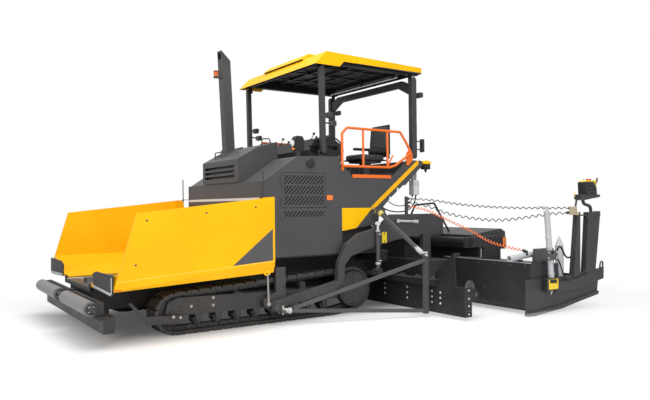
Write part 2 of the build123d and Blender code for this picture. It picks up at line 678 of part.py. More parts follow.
def make_hood():
    """Engine hood: front wall, sloped shoulders, top and rear wall as one folded shell."""
    outer = ((1330, DECK_TOP), (1330, HOOD_LOW_TOP), (1285, 1915), (744, 2262), (374, HOOD_TOP), (0, HOOD_TOP),
             (0, DECK_TOP))
    half = WALL_OUTER - SHEET
    shell = side_plate(outer, -half, half)
    face = offset(side_face(outer), amount=-SHEET, kind=Kind.INTERSECTION)
    hollow = Pos(0, -half - 1, 0) * extrude(face, amount=2 * half + 2, dir=(0, 1, 0))
    return shell - hollow + both(post_ear(FRONT_PIVOT_X, HOOD_TOP - 10, POST_PIVOT_Z + 30, 70))


def make_air_box():
    """Raised intake box with its sloped lid."""
    outline = ((1350, 1916), (1350, 2249), (1026, 2431), (700, 2519), (695, 2265), (744, 2263), (1285, 1916))
    box = side_plate(outline, -607, 607)
    for z in (2130, 2060, 1990):
        box -= block(1300, 1360, -525, 495, z, z + 34)
        box += block(1345, 1366, -535, 505, z + 34, z + 42)
    box += grab_handle(((945, 575, 2440), (930, 575, 2556), (810, 575, 2563), (795, 575, 2480)), 9)
    box += grab_handle(((1240, -390, 2300), (1240, -375, 2405), (1240, -150, 2405), (1240, -135, 2300)), 9)
    return box


def grab_handle(points, radius):
    """A round bar bent through four points with soft corners."""
    path = FilletPolyline(*points, radius=2.5 * radius)
    return sweep(Plane(origin=path @ 0, z_dir=path % 0) * Circle(radius), path=path)


def make_exhaust():
    """Square stack with a slanted top and a mouth in its front wall."""
    base, top = (STACK_X, STACK_Y, 2300), (STACK_X + STACK_LEAN, STACK_Y, STACK_TOP + 60)
    stack = square_bar(base, top, STACK_SIZE, 10)
    front = STACK_X + STACK_LEAN + STACK_SIZE / 2
    rear = front - STACK_SIZE
    cut = ((front + 60, STACK_TOP + 55), (front, STACK_TOP), (rear, STACK_TOP - 140), (rear - 60, STACK_TOP - 195),
           (rear - 60, STACK_TOP + 200), (front + 60, STACK_TOP + 200))
    stack -= side_plate(cut, STACK_Y - STACK_SIZE, STACK_Y + STACK_SIZE)
    stack -= block(front - 30, front + 30, STACK_Y - 45, STACK_Y + 45, STACK_TOP - 130, STACK_TOP - 25)
    under = side_plate(((1350, 1916), (1350, 2249), (1026, 2431), (700, 2519), (695, 2265), (744, 1916)), -607, 607)
    bracket = block(front - 40, front + 92, STACK_Y - 32, STACK_Y + 32, BEACON_FOOT - 10, BEACON_FOOT)
    beacon = rod((front + 54, STACK_Y, BEACON_FOOT), (front + 54, STACK_Y, BEACON_FOOT + 84), 33)
    flange = side_plate(((880, 2470), (1190, 2340), (1190, 2365), (880, 2500)), -460, -140)
    return (stack + flange + bracket + beacon) - under


def make_platform():
    """Operator floor with its rear wall and the body under it."""
    half = WALL_OUTER - SHEET
    floor = side_plate(((-1, PLATFORM_TOP - SHEET), (-1, PLATFORM_TOP), (-1200, PLATFORM_TOP),
                        (-1200, PLATFORM_TOP - SHEET)), -half, half)
    rear = ((-1, DECK_TOP), (CHASSIS_REAR + 10, DECK_TOP), (CHASSIS_REAR + 10, 1150), (-600, 1300), (-600, 1480),
            (-1180, PLATFORM_TOP - SHEET), (-1, PLATFORM_TOP - SHEET))
    floor += side_plate(rear, -1080, 1080)
    back = ((-1180, PLATFORM_TOP - SHEET), (-1240, PLATFORM_TOP - SHEET), (-1560, 2160), (-1560, WALL_TOP),
            (-1440, WALL_TOP), (-1440, 2110), (-1200, PLATFORM_TOP))
    floor += side_plate(back, -half, half)
    return floor + both(post_ear(REAR_PIVOT_X, WALL_TOP - 60, POST_PIVOT_Z + 30, 70))


def make_head_lamps():
    """Head lamp in a rounded housing over its direction lamp, on the hood's shoulders."""
    y_low, y_high = 1120, 1215
    base = rod((690, (y_low + y_high) / 2, HOOD_SHOULDER + SEAT_GAP), (690, (y_low + y_high) / 2, 2345), 44)
    housing = side_plate(((762, 2340), (768, 2500), (735, 2550), (640, 2545), (608, 2480), (618, 2345)), y_low, y_high,
                         radius=22)
    housing += rod((750, 1167, 2445), (778, 1167, 2445), 44)
    return both(base + housing)


def make_rear_cabinet():
    """White switch cabinet that hangs under the rear of the platform."""
    cabinet = block(-1567, -1451, 1080, 1190, 1727, 1962)
    for x in (-1530, -1475):
        cabinet += block(x - 6, x + 6, 1100, 1170, 1955, 2085.3 - (x + 6 + 1475) * 0.875 - SEAT_GAP)
    return cabinet


def make_dashboard():
    """Console across the machine behind the hood."""
    outline = ((430, HOOD_TOP), (430, 2378), (336, 2528), (35, 2588), (-146, 2477), (-200, 2380), (-60, HOOD_TOP))
    board = side_plate(outline, -DASH_HALF, DASH_HALF)
    board -= both(block(250, 400, DASH_HALF - 60, DASH_HALF + 5, 2330, 2440))
    board -= both(block(-80, 90, DASH_HALF - 60, DASH_HALF + 5, 2390, 2450))
    centre = Vector(-240, SEAT_Y, 2500)
    tilt = Plane(origin=centre, z_dir=(-0.8, 0, 0.6))
    wheel = tilt * Torus(130, 12)
    wheel += tilt * Box(250, 22, 10)
    wheel += rod(centre, (-110, SEAT_Y, 2402), 22)
    return board + both(wheel)


def make_seat():
    """Operator's seat on its pedestal."""
    outline = ((-1060, SEAT_Z), (-540, SEAT_Z), (-530, SEAT_Z + 106), (-1000, SEAT_Z + 106), (-1060, SEAT_Z + 586),
               (-1130, SEAT_Z + 586))
    seat = side_plate(outline, SEAT_Y - SEAT_HALF, SEAT_Y + SEAT_HALF, radius=25)
    for side in (-1, 1):
        y = SEAT_Y + side * (SEAT_HALF + 25)
        arm = ((-1090, SEAT_Z + 190), (-760, SEAT_Z + 190), (-750, SEAT_Z + 240), (-1090, SEAT_Z + 240))
        seat += side_plate(arm, y - 30, y + 30, radius=15)
    return seat


def make_seat_base():
    """Swivel pedestal under the seat."""
    base = rod((-790, SEAT_Y, PLATFORM_TOP), (-790, SEAT_Y, SEAT_Z - 20), 90)
    base += block(-980, -600, SEAT_Y - 175, SEAT_Y + 175, SEAT_Z - 30, SEAT_Z - SEAT_GAP)
    return base


def make_rail():
    """Guard rail ring beside the platform."""
    y = WALL_OUTER + 19 + SEAT_GAP
    ring = ((0, 2145), (0, 2620), (-90, 2705), (-1110, 2697), (-1230, 2540), (-1330, 2380), (-1000, 2175),
            (-880, 2145))
    path = FilletPolyline(*[(x, y, z) for x, z in ring], radius=45, close=True)
    tube = sweep(Plane(origin=path @ 0, z_dir=path % 0) * Circle(19), path=path)
    for x in (-385, -850):
        tube += rod((x, y, 2145), (x, y, 2702), 17)
    tube += block(-30, 5, WALL_OUTER + SEAT_GAP, y, 2080, 2145)
    oval = Pos(-1305, WALL_OUTER + 12, 2320) * Rot(90, 0, 0) * Ellipse(68, 100)
    tube += extrude(oval, amount=12 - SEAT_GAP, dir=(0, -1, 0))
    tube += block(-1300, -1235, WALL_OUTER + 5, y, 2190, 2350)
    strip = block(-925, -192, WALL_OUTER + SEAT_GAP, WALL_OUTER + 10, 1977, 2028)
    tube += strip
    tube += rod((-850, y - 3, 2150), (-960, y - 3, 2330), 12)
    return tube


def post_ear(x, z_low, z_high, width):
    """An ear plate beside a post's end with the pin that the post turns on."""
    z = POST_PIVOT_Z if z_low < 3000 else POST_HEAD_Z
    ear = block(x - width / 2, x + width / 2, POST_EAR_INNER, POST_EAR_INNER + POST_EAR, z_low, z_high)
    return ear + rod((x, POST_EAR_INNER, z), (x, POST_Y + 30, z), POST_PIN)


def post_bores(post, x):
    """The post with its two pin holes."""
    for z in (POST_PIVOT_Z, POST_HEAD_Z):
        post -= rod((x, POST_Y - 60, z), (x, POST_Y + 60, z), POST_PIN + RUNNING_GAP)
    return post


def make_rear_posts():
    """Rear roof posts with rounded ends, joined by their cross arch."""
    y_low, y_high = POST_Y - REAR_POST_WIDTH / 2, POST_Y + REAR_POST_WIDTH / 2
    half = REAR_POST_DEPTH / 2
    post = block(REAR_PIVOT_X - half, REAR_PIVOT_X + half, y_low, y_high, POST_PIVOT_Z, POST_HEAD_Z)
    for z in (POST_PIVOT_Z, POST_HEAD_Z):
        post += rod((REAR_PIVOT_X, y_low, z), (REAR_PIVOT_X, y_high, z), half)
    posts = both(post_bores(post, REAR_PIVOT_X))
    arch = ((-y_low, 3330), (-800, 3480), (800, 3480), (y_low, 3330), (y_low, 3500), (900, 3585), (-900, 3585),
            (-y_low, 3500))
    posts += cross_plate(arch, REAR_PIVOT_X - 30, REAR_PIVOT_X + 30)
    # Work lamp and upright mirror frame behind each post
    lamp = rod((REAR_PIVOT_X - half + 5, POST_Y, 3300), (REAR_PIVOT_X - half - 50, POST_Y, 3320), 12)
    lamp += work_lamp(REAR_PIVOT_X - half - 90, 3335, 110)
    frame = block(REAR_PIVOT_X - half - 160, REAR_PIVOT_X - half - 130, y_low, y_high, 2420, 2630)
    for z in (2460, 2590):
        frame += rod((REAR_PIVOT_X - half + 5, POST_Y, z), (REAR_PIVOT_X - half - 135, POST_Y, z), 9)
    return posts + both(lamp + frame)


def work_lamp(x, z, width):
    """Square lamp housing with a rounded back, standing across the machine."""
    housing = side_plate(((x + 35, z - 38), (x + 35, z + 38), (x - 25, z + 42), (x - 40, z + 30), (x - 40, z - 30),
                          (x - 25, z - 42)), POST_Y - width / 2, POST_Y + width / 2, radius=8)
    return housing


def make_front_posts():
    """Slim front roof posts, leaning a little forward between their pins."""
    half = FRONT_POST_DEPTH / 2
    foot_x, head_x = FRONT_PIVOT_X - 9, FRONT_PIVOT_X + 9
    y_low, y_high = POST_Y - FRONT_POST_WIDTH / 2, POST_Y + FRONT_POST_WIDTH / 2
    outline = ((foot_x - half, POST_PIVOT_Z), (foot_x + half, POST_PIVOT_Z), (head_x + half, POST_HEAD_Z),
               (head_x - half, POST_HEAD_Z))
    post = side_plate(outline, y_low, y_high)
    post += rod((foot_x, y_low, POST_PIVOT_Z), (foot_x, y_high, POST_PIVOT_Z), half)
    post += rod((head_x, y_low, POST_HEAD_Z), (head_x, y_high, POST_HEAD_Z), half)
    post = post_bores(post, FRONT_PIVOT_X)
    for x, z in ((128, 2890), (68, 2768)):
        post += work_lamp(x, z, 95)
        post += rod((x + 20, POST_Y, z), (FRONT_PIVOT_X, POST_Y, z + 8), 11)
    return both(post)


def make_roof():
    """Roof shell with its steep visor, raised centre and inner frame."""
    profile = ((406, 3600), (210, 3798), (-1631, 3760), (-1626, 3660), (-98, 3680), (-20, 3600))
    shell = side_plate(profile, -ROOF_HALF, ROOF_HALF)
    inner = ((380, 3590), (200, 3770), (-1600, 3732), (-1600, 3590))
    shell -= side_plate(inner, -ROOF_HALF + 25, ROOF_HALF - 25)
    raised = side_plate(((258, 3792), (131, 3890), (-1500, 3860), (-1560, 3758), (100, 3790)), -600, 600)
    rafter = ((310, 3640), (215, 3775), (-1590, 3740), (-1590, 3640))
    frame = side_plate(rafter, POST_EAR_INNER, POST_EAR_INNER + 100)
    for x in (FRONT_PIVOT_X, REAR_PIVOT_X):
        frame += post_ear(x, POST_HEAD_Z - 30, 3650, 70)
    crossing = block(REAR_PIVOT_X + 40, REAR_PIVOT_X + 100, -POST_EAR_INNER, POST_EAR_INNER, 3690, 3740)
    crossing += block(FRONT_PIVOT_X - 120, FRONT_PIVOT_X - 70, -POST_EAR_INNER, POST_EAR_INNER, 3720, 3775)
    return shell + raised + both(frame) + crossing


def make_tow_post():
    """Upright guide of the tow point, on the track frame."""
    outline = ((997, 747), (1144, 747), (1144, 420), (1330, 330), (1330, 250), (1216, 160), (1080, 190), (997, 350))
    post = side_plate(outline, 1262, 1312)
    post += block(1000, 1250, FRAME_OUTER, 1262, 270, 400)
    post += rod((TOW_X, 1300, TOW_Z), (TOW_X, ARM_OUTER + 36, TOW_Z), TOW_PIN_RADIUS)
    link = ((TOW_X + 40, TOW_Z + 20), (TOW_X - 30, TOW_Z + 40), (1110, 190), (1130, 150), (1180, 150))
    post += side_plate(link, ARM_OUTER + 12, ARM_OUTER + 36, radius=10)
    return post


def make_tow_arm():
    """Long cranked tow arm that pulls the screed."""
    outline = ((1255, 180), (1255, 290), (1150, 320), (201, 506), (170, 760), (40, 1015), (-198, 1160),
               (-572, 1240), (-809, 1430), (-1700, 1430), (-1880, 1340), (-1880, 1105), (-1604, 1105),
               (-1604, MAIN_TOP), (-1450, MAIN_TOP), (-1450, 1120), (-880, 1042), (-492, 969), (-50, 845),
               (60, 724), (80, 468), (238, 382), (1010, 240), (1140, 180))
    arm = side_plate(outline, ARM_INNER, ARM_OUTER, radius=20)
    lug = ((-570, 1200), (-430, 1180), (-455, 1330), (-545, 1330))
    arm += side_plate(lug, ARM_OUTER - 20, ARM_OUTER, radius=10)
    arm += rod((-500, ARM_OUTER - 20, 1300), (-500, 1427.5, 1300), 18)
    lever = rod((-900, ARM_OUTER + 22, 1330), (-1240, ARM_OUTER + 22, 1315), 17)
    lever += rod((-1240, ARM_OUTER + 22, 1315), (-1310, ARM_OUTER + 22, 1311), 26)
    lever += block(-930, -880, ARM_OUTER - 5, ARM_OUTER + 40, 1305, 1355)
    lever += block(-1305, -1265, ARM_OUTER - 5, ARM_OUTER + 40, 1290, 1330)
    arm += lever
    arm -= rod((TOW_X, ARM_INNER - 5, TOW_Z), (TOW_X, ARM_OUTER + 5, TOW_Z), TOW_PIN_RADIUS + RUNNING_GAP)
    return arm


def cord_tube(points):
    """A coiled cord as one tube of the coil's outer diameter, along straight runs and tangent arcs."""
    corners = [Vector(*point) for point in points]
    radii = []
    for before, corner, after in zip(corners, corners[1:], corners[2:]):
        turn = math.radians((corner - before).get_angle(after - corner))
        shorter = min((corner - before).length, (after - corner).length)
        radii.append(0.45 * shorter / math.tan(turn / 2))
    print("cord radii", [round(radius) for radius in radii])
    path = FilletPolyline(*points, radius=radii)
    return sweep(Plane(origin=path @ 0, z_dir=path % 0) * Circle(COIL_RADIUS), path=path)


def socket(points):
    """The round socket that a cord's first run comes out of."""
    start, along = Vector(*points[0]), (Vector(*points[1]) - Vector(*points[0])).normalized()
    return rod(start - along * (SOCKET_LENGTH + CORD_GAP), start - along * CORD_GAP, COIL_RADIUS - 3)


def make_cord_post():
    """Post on the left tow arm with the sockets of the three coiled cords."""
    x, y, _ = UPPER_CORD[0]
    post = block(x + 20, x + 60, ARM_INNER + 10, y - 14, 1425, UPPER_CORD[0][2] + 35)
    for route in (UPPER_CORD, LOWER_CORD, ORANGE_CORD):
        post += socket(route)
        post += block(x + 15, x + 60, ARM_INNER + 30, y - 12, route[0][2] - 20, route[0][2] + 20)
    return post


def make_screed_body():
    """Main screed: heated body, guide block and rear hood."""
    profile = ((MAIN_FRONT, 130), (MAIN_FRONT - 90, 45), (MAIN_REAR, 45), (MAIN_REAR, MAIN_TOP), (MAIN_FRONT, MAIN_TOP))
    body = side_plate(profile, -MAIN_HALF, MAIN_HALF)
    tower = block(-2000, -1600, -790, 790, 880, 1120)
    tower += block(-1940, -1600, -790, 790, MAIN_TOP, 880)
    tower += block(-2430, -2000, -790, 790, 900, 1100)
    hood = side_plate(((-2424, 1069), (-3134, 1154), (-3245, 1100), (-3245, 807), (-2786, 820), (-2424, 895)),
                      -MAIN_HALF, MAIN_HALF)
    body += tower + hood
    for x in (GUIDE_LEFT_X, GUIDE_RIGHT_X):
        body -= rod((x, -800, GUIDE_Z), (x, 800, GUIDE_Z), GUIDE_RADIUS + RUNNING_GAP)
    body += block(EXT_REAR - 40, EXT_REAR - 10, -MAIN_HALF, MAIN_HALF, 500, 870)
    body += both(grab_handle(((-1625, 740, 1115), (-1886, 740, 1567), (-2325, 740, 1598), (-2680, 740, 1095)), 17))
    body += both(block(-3229, -3131, MAIN_HALF - 1, MAIN_HALF + 34, 862, 1015))
    return body


def make_extension(guide_x):
    """Sliding screed extension with its guide tube and bracket."""
    profile = ((EXT_FRONT, 130), (EXT_FRONT - 60, 50), (EXT_REAR, 50), (EXT_REAR, EXT_TOP - 40),
               (EXT_FRONT - 60, EXT_TOP), (EXT_FRONT, EXT_TOP))
    body = side_plate(profile, EXT_INNER, EXT_OUTER)
    bracket = ((guide_x + 80, 925), (guide_x + 80, 1080), (-2300, 1080), (-2380, 960), (-2380, EXT_TOP - 60),
               (-2000, EXT_TOP - 60), (-2000, 925))
    body += side_plate(bracket, 2080, 2130, radius=20)
    body += rod((guide_x, 650, GUIDE_Z), (guide_x, 2135, GUIDE_Z), GUIDE_RADIUS)
    # Footboard behind the extension with its side rail and rear kick plate
    body += block(-3230, EXT_REAR, 1650, EXT_OUTER, 395, 430)
    body += block(-3250, -3230, 1650, EXT_OUTER, 330, 490)
    for y in (1650, 2300, EXT_OUTER - 20):
        body += block(-3230, EXT_REAR, y, y + 20, 330, 395)
    # Capped post on the footboard
    body += rod((-2834, 2850, 430), (-2834, 2850, 940), 60)
    body += Pos(-2834, 2850, 1010) * Cone(60, 8, 140)
    # Power tube and the clamp of the edge light pole
    body += rod((-1760, TUBE_Y, 800), (-2380, TUBE_Y, 848), TUBE_RADIUS, TUBE_RADIUS - 10)
    body += block(-2430, -2320, TUBE_Y - 40, TUBE_Y + 40, EXT_TOP - 60, 862)
    body += block(-2006, -1976, TUBE_Y - 40, TUBE_Y + 40, EXT_TOP - 60, 780)
    body += block(-2500, -2170, 2890, 2995, EXT_TOP - 60, 925)
    body += block(-2420, -2200, 2995, POLE_Y + POLE_RADIUS + 8, 770, 905)
    body += block(-2112, -2076, TUBE_Y + 8, TUBE_Y + 50, 830, 900)
    return body - rod(POLE_TOP, POLE_FOOT, POLE_RADIUS + SEAT_GAP)


def make_cord_sockets(*routes):
    """The sockets that the far ends of these cords go into."""
    sockets = []
    for route in routes:
        end, before = Vector(*route[-1]), Vector(*route[-2])
        along = (end - before).normalized()
        sockets.append(rod(end + along * CORD_GAP, end + along * (CORD_GAP + SOCKET_LENGTH), COIL_RADIUS - 3))
    return sockets


def make_light_pole():
    """Edge light pole in its clamp, with the sensor box at its foot."""
    pole = rod(POLE_TOP, POLE_FOOT, POLE_RADIUS, POLE_RADIUS - 6)
    outline = ((-2180, 330), (-2180, 520), (-2440, 515), (-2445, 340))
    return pole + side_plate(outline, POLE_Y - 32, POLE_Y + 45, radius=12)


def make_end_plate():
    """End gate of an extension, with its runner."""
    outline = ((-1840, 508), (-1840, 12), (-1990, 8), (-2600, 51), (-2945, 106), (-3504, 184), (-3540, 390),
               (-3668, 400), (-3668, 575), (-2800, 508))
    y = EXT_OUTER + END_PLATE
    gate = side_plate(outline, EXT_OUTER, y, radius=8)
    # Runner along the foot and the boxed beam along the top
    runner = ((-1845, 62), (-1850, 14), (-1990, 8), (-2600, 51), (-2945, 106), (-3504, 184), (-3510, 232),
              (-2945, 158), (-2600, 104), (-1990, 64))
    gate += side_plate(runner, y - 1, y + GATE_FOOT)
    beam = ((-2465, 300), (-2465, 430), (-2967, 459), (-3650, 590), (-3640, 415), (-2900, 290))
    gate += side_plate(beam, y - 1, y + GATE_FOOT, radius=6)
    # Tower of two channels with the swan neck and the control box
    y_low, y_high = TOWER_Y - TOWER_HALF, TOWER_Y + TOWER_HALF
    front = ((-2905, 480), (-3030, 1438), (-3085, 1438), (-3065, 500))
    gate += side_plate(front, y_low, y_high)
    rear = ((-3193, 500), (-3287, 1434), (-3599, 1445), (-3449, 520))
    gate += side_plate(rear, y_low, y_high)
    inside = ((-3215, 540), (-3303, 1460), (-3540, 1460), (-3420, 560))
    gate -= side_plate(inside, y_low - 1, y_high - 12)
    for z in (640, 880, 1120, 1360):
        x = -3193 - (z - 500) * 0.125 - 130
        gate -= rod((x, y_high - 20, z), (x, y_high + 5, z), 14)
    gate += block(-3620, -3050, y_low + 10, y_high - 12, 1380, 1400)
    gate += grab_handle(((-3420, TOWER_Y, 1390), (-3400, TOWER_Y, 1520), (-3230, TOWER_Y, 1560),
                         (-3190, TOWER_Y, 1680)), 24)
    tray = ((-3083, 1630), (-3083, 1700), (-3565, 1700), (-3565, 1660), (-3150, 1612))
    gate += side_plate(tray, TOWER_Y - 60, TOWER_Y + 60)
    housing = ((-3200, 1695), (-3191, 1880), (-3240, 1912), (-3450, 1912), (-3474, 1695))
    gate += side_plate(housing, TOWER_Y - 70, TOWER_Y + 70, radius=18)
    for x, z in ((-3040, 1660), (-3600, 1682)):
        end = x - 25 if x < -3300 else x + 25
        gate += rod((x, TOWER_Y, z), (end, TOWER_Y, z), 16)
        gate += rod((-3300, TOWER_Y, 1665), (x, TOWER_Y, z), 7)
    gate += rod((-3360, TOWER_Y, 1905), (-3360, TOWER_Y, 1935), 32)
    gate += block(-3050, -2925, TOWER_Y - 34, TOWER_Y + 10, 1395, 1520)
    gate += rod((-3020, TOWER_Y, 1500), (-3060, TOWER_Y, 1640), 14)
    return gate


def make_auger():
    """One half of the auger: a tube shaft with a continuous screw flight."""
    shaft = rod((AUGER_X, AUGER_INNER + 2, AUGER_Z), (AUGER_X, AUGER_OUTER, AUGER_Z), AUGER_SHAFT)
    half_angle = math.pi * FLIGHT_THICKNESS / FLIGHT_PITCH
    inner, outer = AUGER_SHAFT - 3, AUGER_RADIUS
    side = (math.cos(half_angle), math.sin(half_angle))
    section = make_face([
        Line((inner * side[0], -inner * side[1]), (outer * side[0], -outer * side[1])),
        ThreePointArc((outer * side[0], -outer * side[1]), (outer, 0), (outer * side[0], outer * side[1])),
        Line((outer * side[0], outer * side[1]), (inner * side[0], inner * side[1])),
        ThreePointArc((inner * side[0], inner * side[1]), (inner, 0), (inner * side[0], -inner * side[1])),
    ])
    length = AUGER_OUTER - FLIGHT_START
    turn = 360 * length / FLIGHT_PITCH
    flight = Solid.extrude_linear_with_rotation(section.face().outer_wire(), (0, 0, 0), (0, 0, length), turn)
    flight = Pos(AUGER_X, FLIGHT_START, AUGER_Z) * Rot(-90, 0, 0) * flight
    shaft += flight
    shaft += rod((AUGER_X, AUGER_OUTER, AUGER_Z), (AUGER_X, AUGER_OUTER + 30, AUGER_Z), STUB_RADIUS)
    return shaft - rod((AUGER_X, 0, AUGER_Z), (AUGER_X, 160, AUGER_Z), STUB_RADIUS + RUNNING_GAP)


def make_tunnel():
    """Auger tunnel plate with its end channel and the outer bearing hanger."""
    top = TUNNEL_BOTTOM + TUNNEL_HEIGHT
    plate = block(TUNNEL_X, TUNNEL_X + SHEET, BEAM_OUTER + 1, TUNNEL_OUTER, TUNNEL_BOTTOM, top)
    plate += block(TUNNEL_X - FLANGE_WIDTH, TUNNEL_X, TUNNEL_OUTER - THIN_SHEET, TUNNEL_OUTER, TUNNEL_BOTTOM, top)
    for row in FLANGE_HOLE_ROWS:
        for z in FLANGE_HOLE_Z:
            x = TUNNEL_X + row
            plate -= rod((x, TUNNEL_OUTER - 20, z), (x, TUNNEL_OUTER + 5, z), FLANGE_HOLE)
    plate += block(TUNNEL_X, TUNNEL_X + 120, BEAM_OUTER + 1, 2250, 440, 520)
    hanger = ((TUNNEL_X, 200), (TUNNEL_X, 440), (AUGER_X, 410), (AUGER_X - 70, 330), (AUGER_X, 250))
    plate += side_plate(hanger, AUGER_OUTER + 4, AUGER_OUTER + 34, radius=10)
    plate += cross_plate(((2166, 445), (2166, 616), (2535, 905), (2566, 525), (2560, 445)), TUNNEL_X, TUNNEL_X + THIN_SHEET)
    # Slotted ledge along the gusset's sloping edge
    (y_low, z_low), (y_high, z_high) = (2166, 616), (2535, 905)
    slope = math.degrees(math.atan2(z_high - z_low, y_high - y_low))
    ledge = Box(LEDGE_WIDTH, math.dist((y_low, z_low), (y_high, z_high)) - 20, 14)
    for place in (-140, -30, 80):
        ledge -= Pos(0, place, 0) * Box(LEDGE_WIDTH - 60, 70, 20)
    middle = Pos(TUNNEL_X + THIN_SHEET - LEDGE_WIDTH / 2, (y_low + y_high) / 2, (z_low + z_high) / 2 - 6)
    plate += middle * Rot(slope, 0, 0) * ledge
    plate -= rod((AUGER_X, AUGER_OUTER, AUGER_Z), (AUGER_X, AUGER_OUTER + 50, AUGER_Z), STUB_RADIUS + RUNNING_GAP)
    return plate


def make_braces():
    """Corner post of the tunnel with the three bars that hold it."""
    foot, head = (-800, 2130, 45), (-800, 2130, 835)
    posts = square_bar(foot, head, 62, 6)
    posts += square_bar((1080, 1475, 190), (-770, 2125, 85), BRACE_BAR)
    posts += square_bar((990, 1500, 215), (-780, 2125, 790), BRACE_BAR)
    posts += square_bar((-518, 1450, 1480), (-795, 2125, 850), BRACE_BAR)
    posts += block(-840, -780, 2095, 2165, 455, 515)
    posts += block(BRACE_BLOCK_REAR, BRACE_BLOCK_FRONT, 1081, 1480, BRACE_BLOCK_BOTTOM, BRACE_BLOCK_TOP)
    posts += block(BRACE_BLOCK_REAR, -482, 1430, 1480, BRACE_BLOCK_BOTTOM, BRACE_BLOCK_TOP)
    posts += rod((1145, ARM_OUTER + 36 + SEAT_GAP, 182), (1145, 1500, 182), 20)
    posts += rod((1150, 1475, 182), (1070, 1478, 190), 24)
    return posts


def make_lift_cylinder():
    """Barrel of a screed lift cylinder with its foot eye."""
    floor = LIFT_FOOT_Z + 25
    barrel = rod((LIFT_X, LIFT_Y, floor - 5), (LIFT_X, LIFT_Y, LIFT_BARREL_TOP), LIFT_BARREL_RADIUS,
                 LIFT_ROD_RADIUS + 1)
    barrel += rod((LIFT_X, LIFT_Y - 28, LIFT_FOOT_Z), (LIFT_X, LIFT_Y + 25, LIFT_FOOT_Z), 34)
    barrel += rod((LIFT_X, LIFT_Y, floor), (LIFT_X, LIFT_Y, floor + 50), LIFT_BARREL_RADIUS)
    barrel += rod((LIFT_X, LIFT_Y, LIFT_BARREL_TOP - 60), (LIFT_X, LIFT_Y, LIFT_BARREL_TOP), LIFT_BARREL_RADIUS + 6,
                  LIFT_ROD_RADIUS + 1)
    return barrel - rod((LIFT_X, LIFT_Y - 30, LIFT_FOOT_Z), (LIFT_X, LIFT_Y + 30, LIFT_FOOT_Z), LIFT_PIN)


def make_lift_rod():
    """Chromed rod of a screed lift cylinder with its head eye."""
    bar = rod((LIFT_X, LIFT_Y, LIFT_FOOT_Z + 135), (LIFT_X, LIFT_Y, LIFT_EYE_Z - 10), LIFT_ROD_RADIUS)
    return bar + rod((LIFT_X, LIFT_Y - 22, LIFT_EYE_Z), (LIFT_X, LIFT_Y + 22, LIFT_EYE_Z), 32)


def make_engine():
    """Engine as one plain block."""
    return block(250, 1150, -450, 450, 900, 1750)


keep("main_frame", make_main_frame())
keep("fender_decks", make_decks())
keep("bulkhead", make_bulkhead())
keep("front_beam", make_front_beam())
keep("conveyor", make_conveyor())
keep("engine", make_engine())
keep_pair("track", make_track())
keep_pair("running_gear", make_running_gear())
keep_pair("wing", make_wing())
keep_pair("flap", make_flap())
keep("push_beam", make_push_beam())
keep_pair("push_roller", make_push_roller())
keep("side_walls", both(make_side_wall()))
keep("lower_panels", both(make_lower_panel()))
keep("rear_panels", both(make_rear_panel()))
keep_pair("grille_door", make_grille_door())
keep("hood", make_hood())
keep("air_box", make_air_box())
keep("exhaust_stack", make_exhaust())
keep("platform", make_platform())
keep("dashboard", make_dashboard())
keep("head_lamps", make_head_lamps())
keep("rear_cabinets", both(make_rear_cabinet()))
keep("seats", both(make_seat()))
keep("seat_pedestals", both(make_seat_base()))
keep("rails", both(make_rail()))
keep("rear_posts", make_rear_posts())
keep("front_posts", make_front_posts())
keep("roof", make_roof())
keep("tow_posts", both(make_tow_post()))
keep("tow_arms", both(make_tow_arm()) + make_cord_post())
keep("cord_upper", cord_tube(UPPER_CORD))
keep("cord_lower", cord_tube(LOWER_CORD))
keep("cord_orange", cord_tube(ORANGE_CORD))
keep("screed_body", make_screed_body())
keep("extension_left", make_extension(GUIDE_LEFT_X) + make_cord_sockets(ORANGE_CORD))
keep("extension_right", mirrored(make_extension(GUIDE_RIGHT_X)))
keep("end_plate_left", make_end_plate() + make_cord_sockets(UPPER_CORD, LOWER_CORD))
keep("end_plate_right", mirrored(make_end_plate()))
keep_pair("light_pole", make_light_pole())
keep_pair("auger", make_auger())
keep("tunnel_plates", both(make_tunnel()))
keep("tunnel_braces", both(make_braces()))
keep_pair("lift_barrel", make_lift_cylinder())
keep_pair("lift_rod", make_lift_rod())

os.makedirs("parts", exist_ok=True)
for name, shape in PIECES.items():
    export_step(shape, "parts/" + name + ".step")
    print(name, len(shape.solids()), round(shape.volume / 1e6, 1))
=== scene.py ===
import math

import bmesh
import bpy
from mathutils import Matrix, Vector


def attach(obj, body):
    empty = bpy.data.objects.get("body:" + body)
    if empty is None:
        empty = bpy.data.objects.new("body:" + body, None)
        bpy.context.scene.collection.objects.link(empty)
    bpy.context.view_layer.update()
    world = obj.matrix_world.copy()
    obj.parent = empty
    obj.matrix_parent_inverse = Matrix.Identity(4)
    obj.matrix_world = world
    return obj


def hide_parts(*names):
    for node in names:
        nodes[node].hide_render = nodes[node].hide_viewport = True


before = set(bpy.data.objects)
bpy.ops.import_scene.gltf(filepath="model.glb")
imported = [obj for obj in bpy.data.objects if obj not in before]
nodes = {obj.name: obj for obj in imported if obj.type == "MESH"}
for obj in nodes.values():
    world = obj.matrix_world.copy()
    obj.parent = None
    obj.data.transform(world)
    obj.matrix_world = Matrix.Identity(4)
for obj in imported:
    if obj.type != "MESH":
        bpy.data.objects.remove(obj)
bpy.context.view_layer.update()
scene = bpy.context.scene
scene.view_settings.view_transform = "Standard"

# Camera. It stands off the left front corner of the machine, at about a standing person's eye height,
# with the level and the slight roll that the photograph has.
CAMERA_PLACE = Vector((5.3556, 8.6788, 1.5651))
CAMERA_YAW = -2.1686
CAMERA_PITCH = 0.00424
CAMERA_ROLL = -0.01056


def placed(name, data):
    """A new object with this data, in the scene."""
    made = bpy.data.objects.new(name, data)
    scene.collection.objects.link(made)
    return made


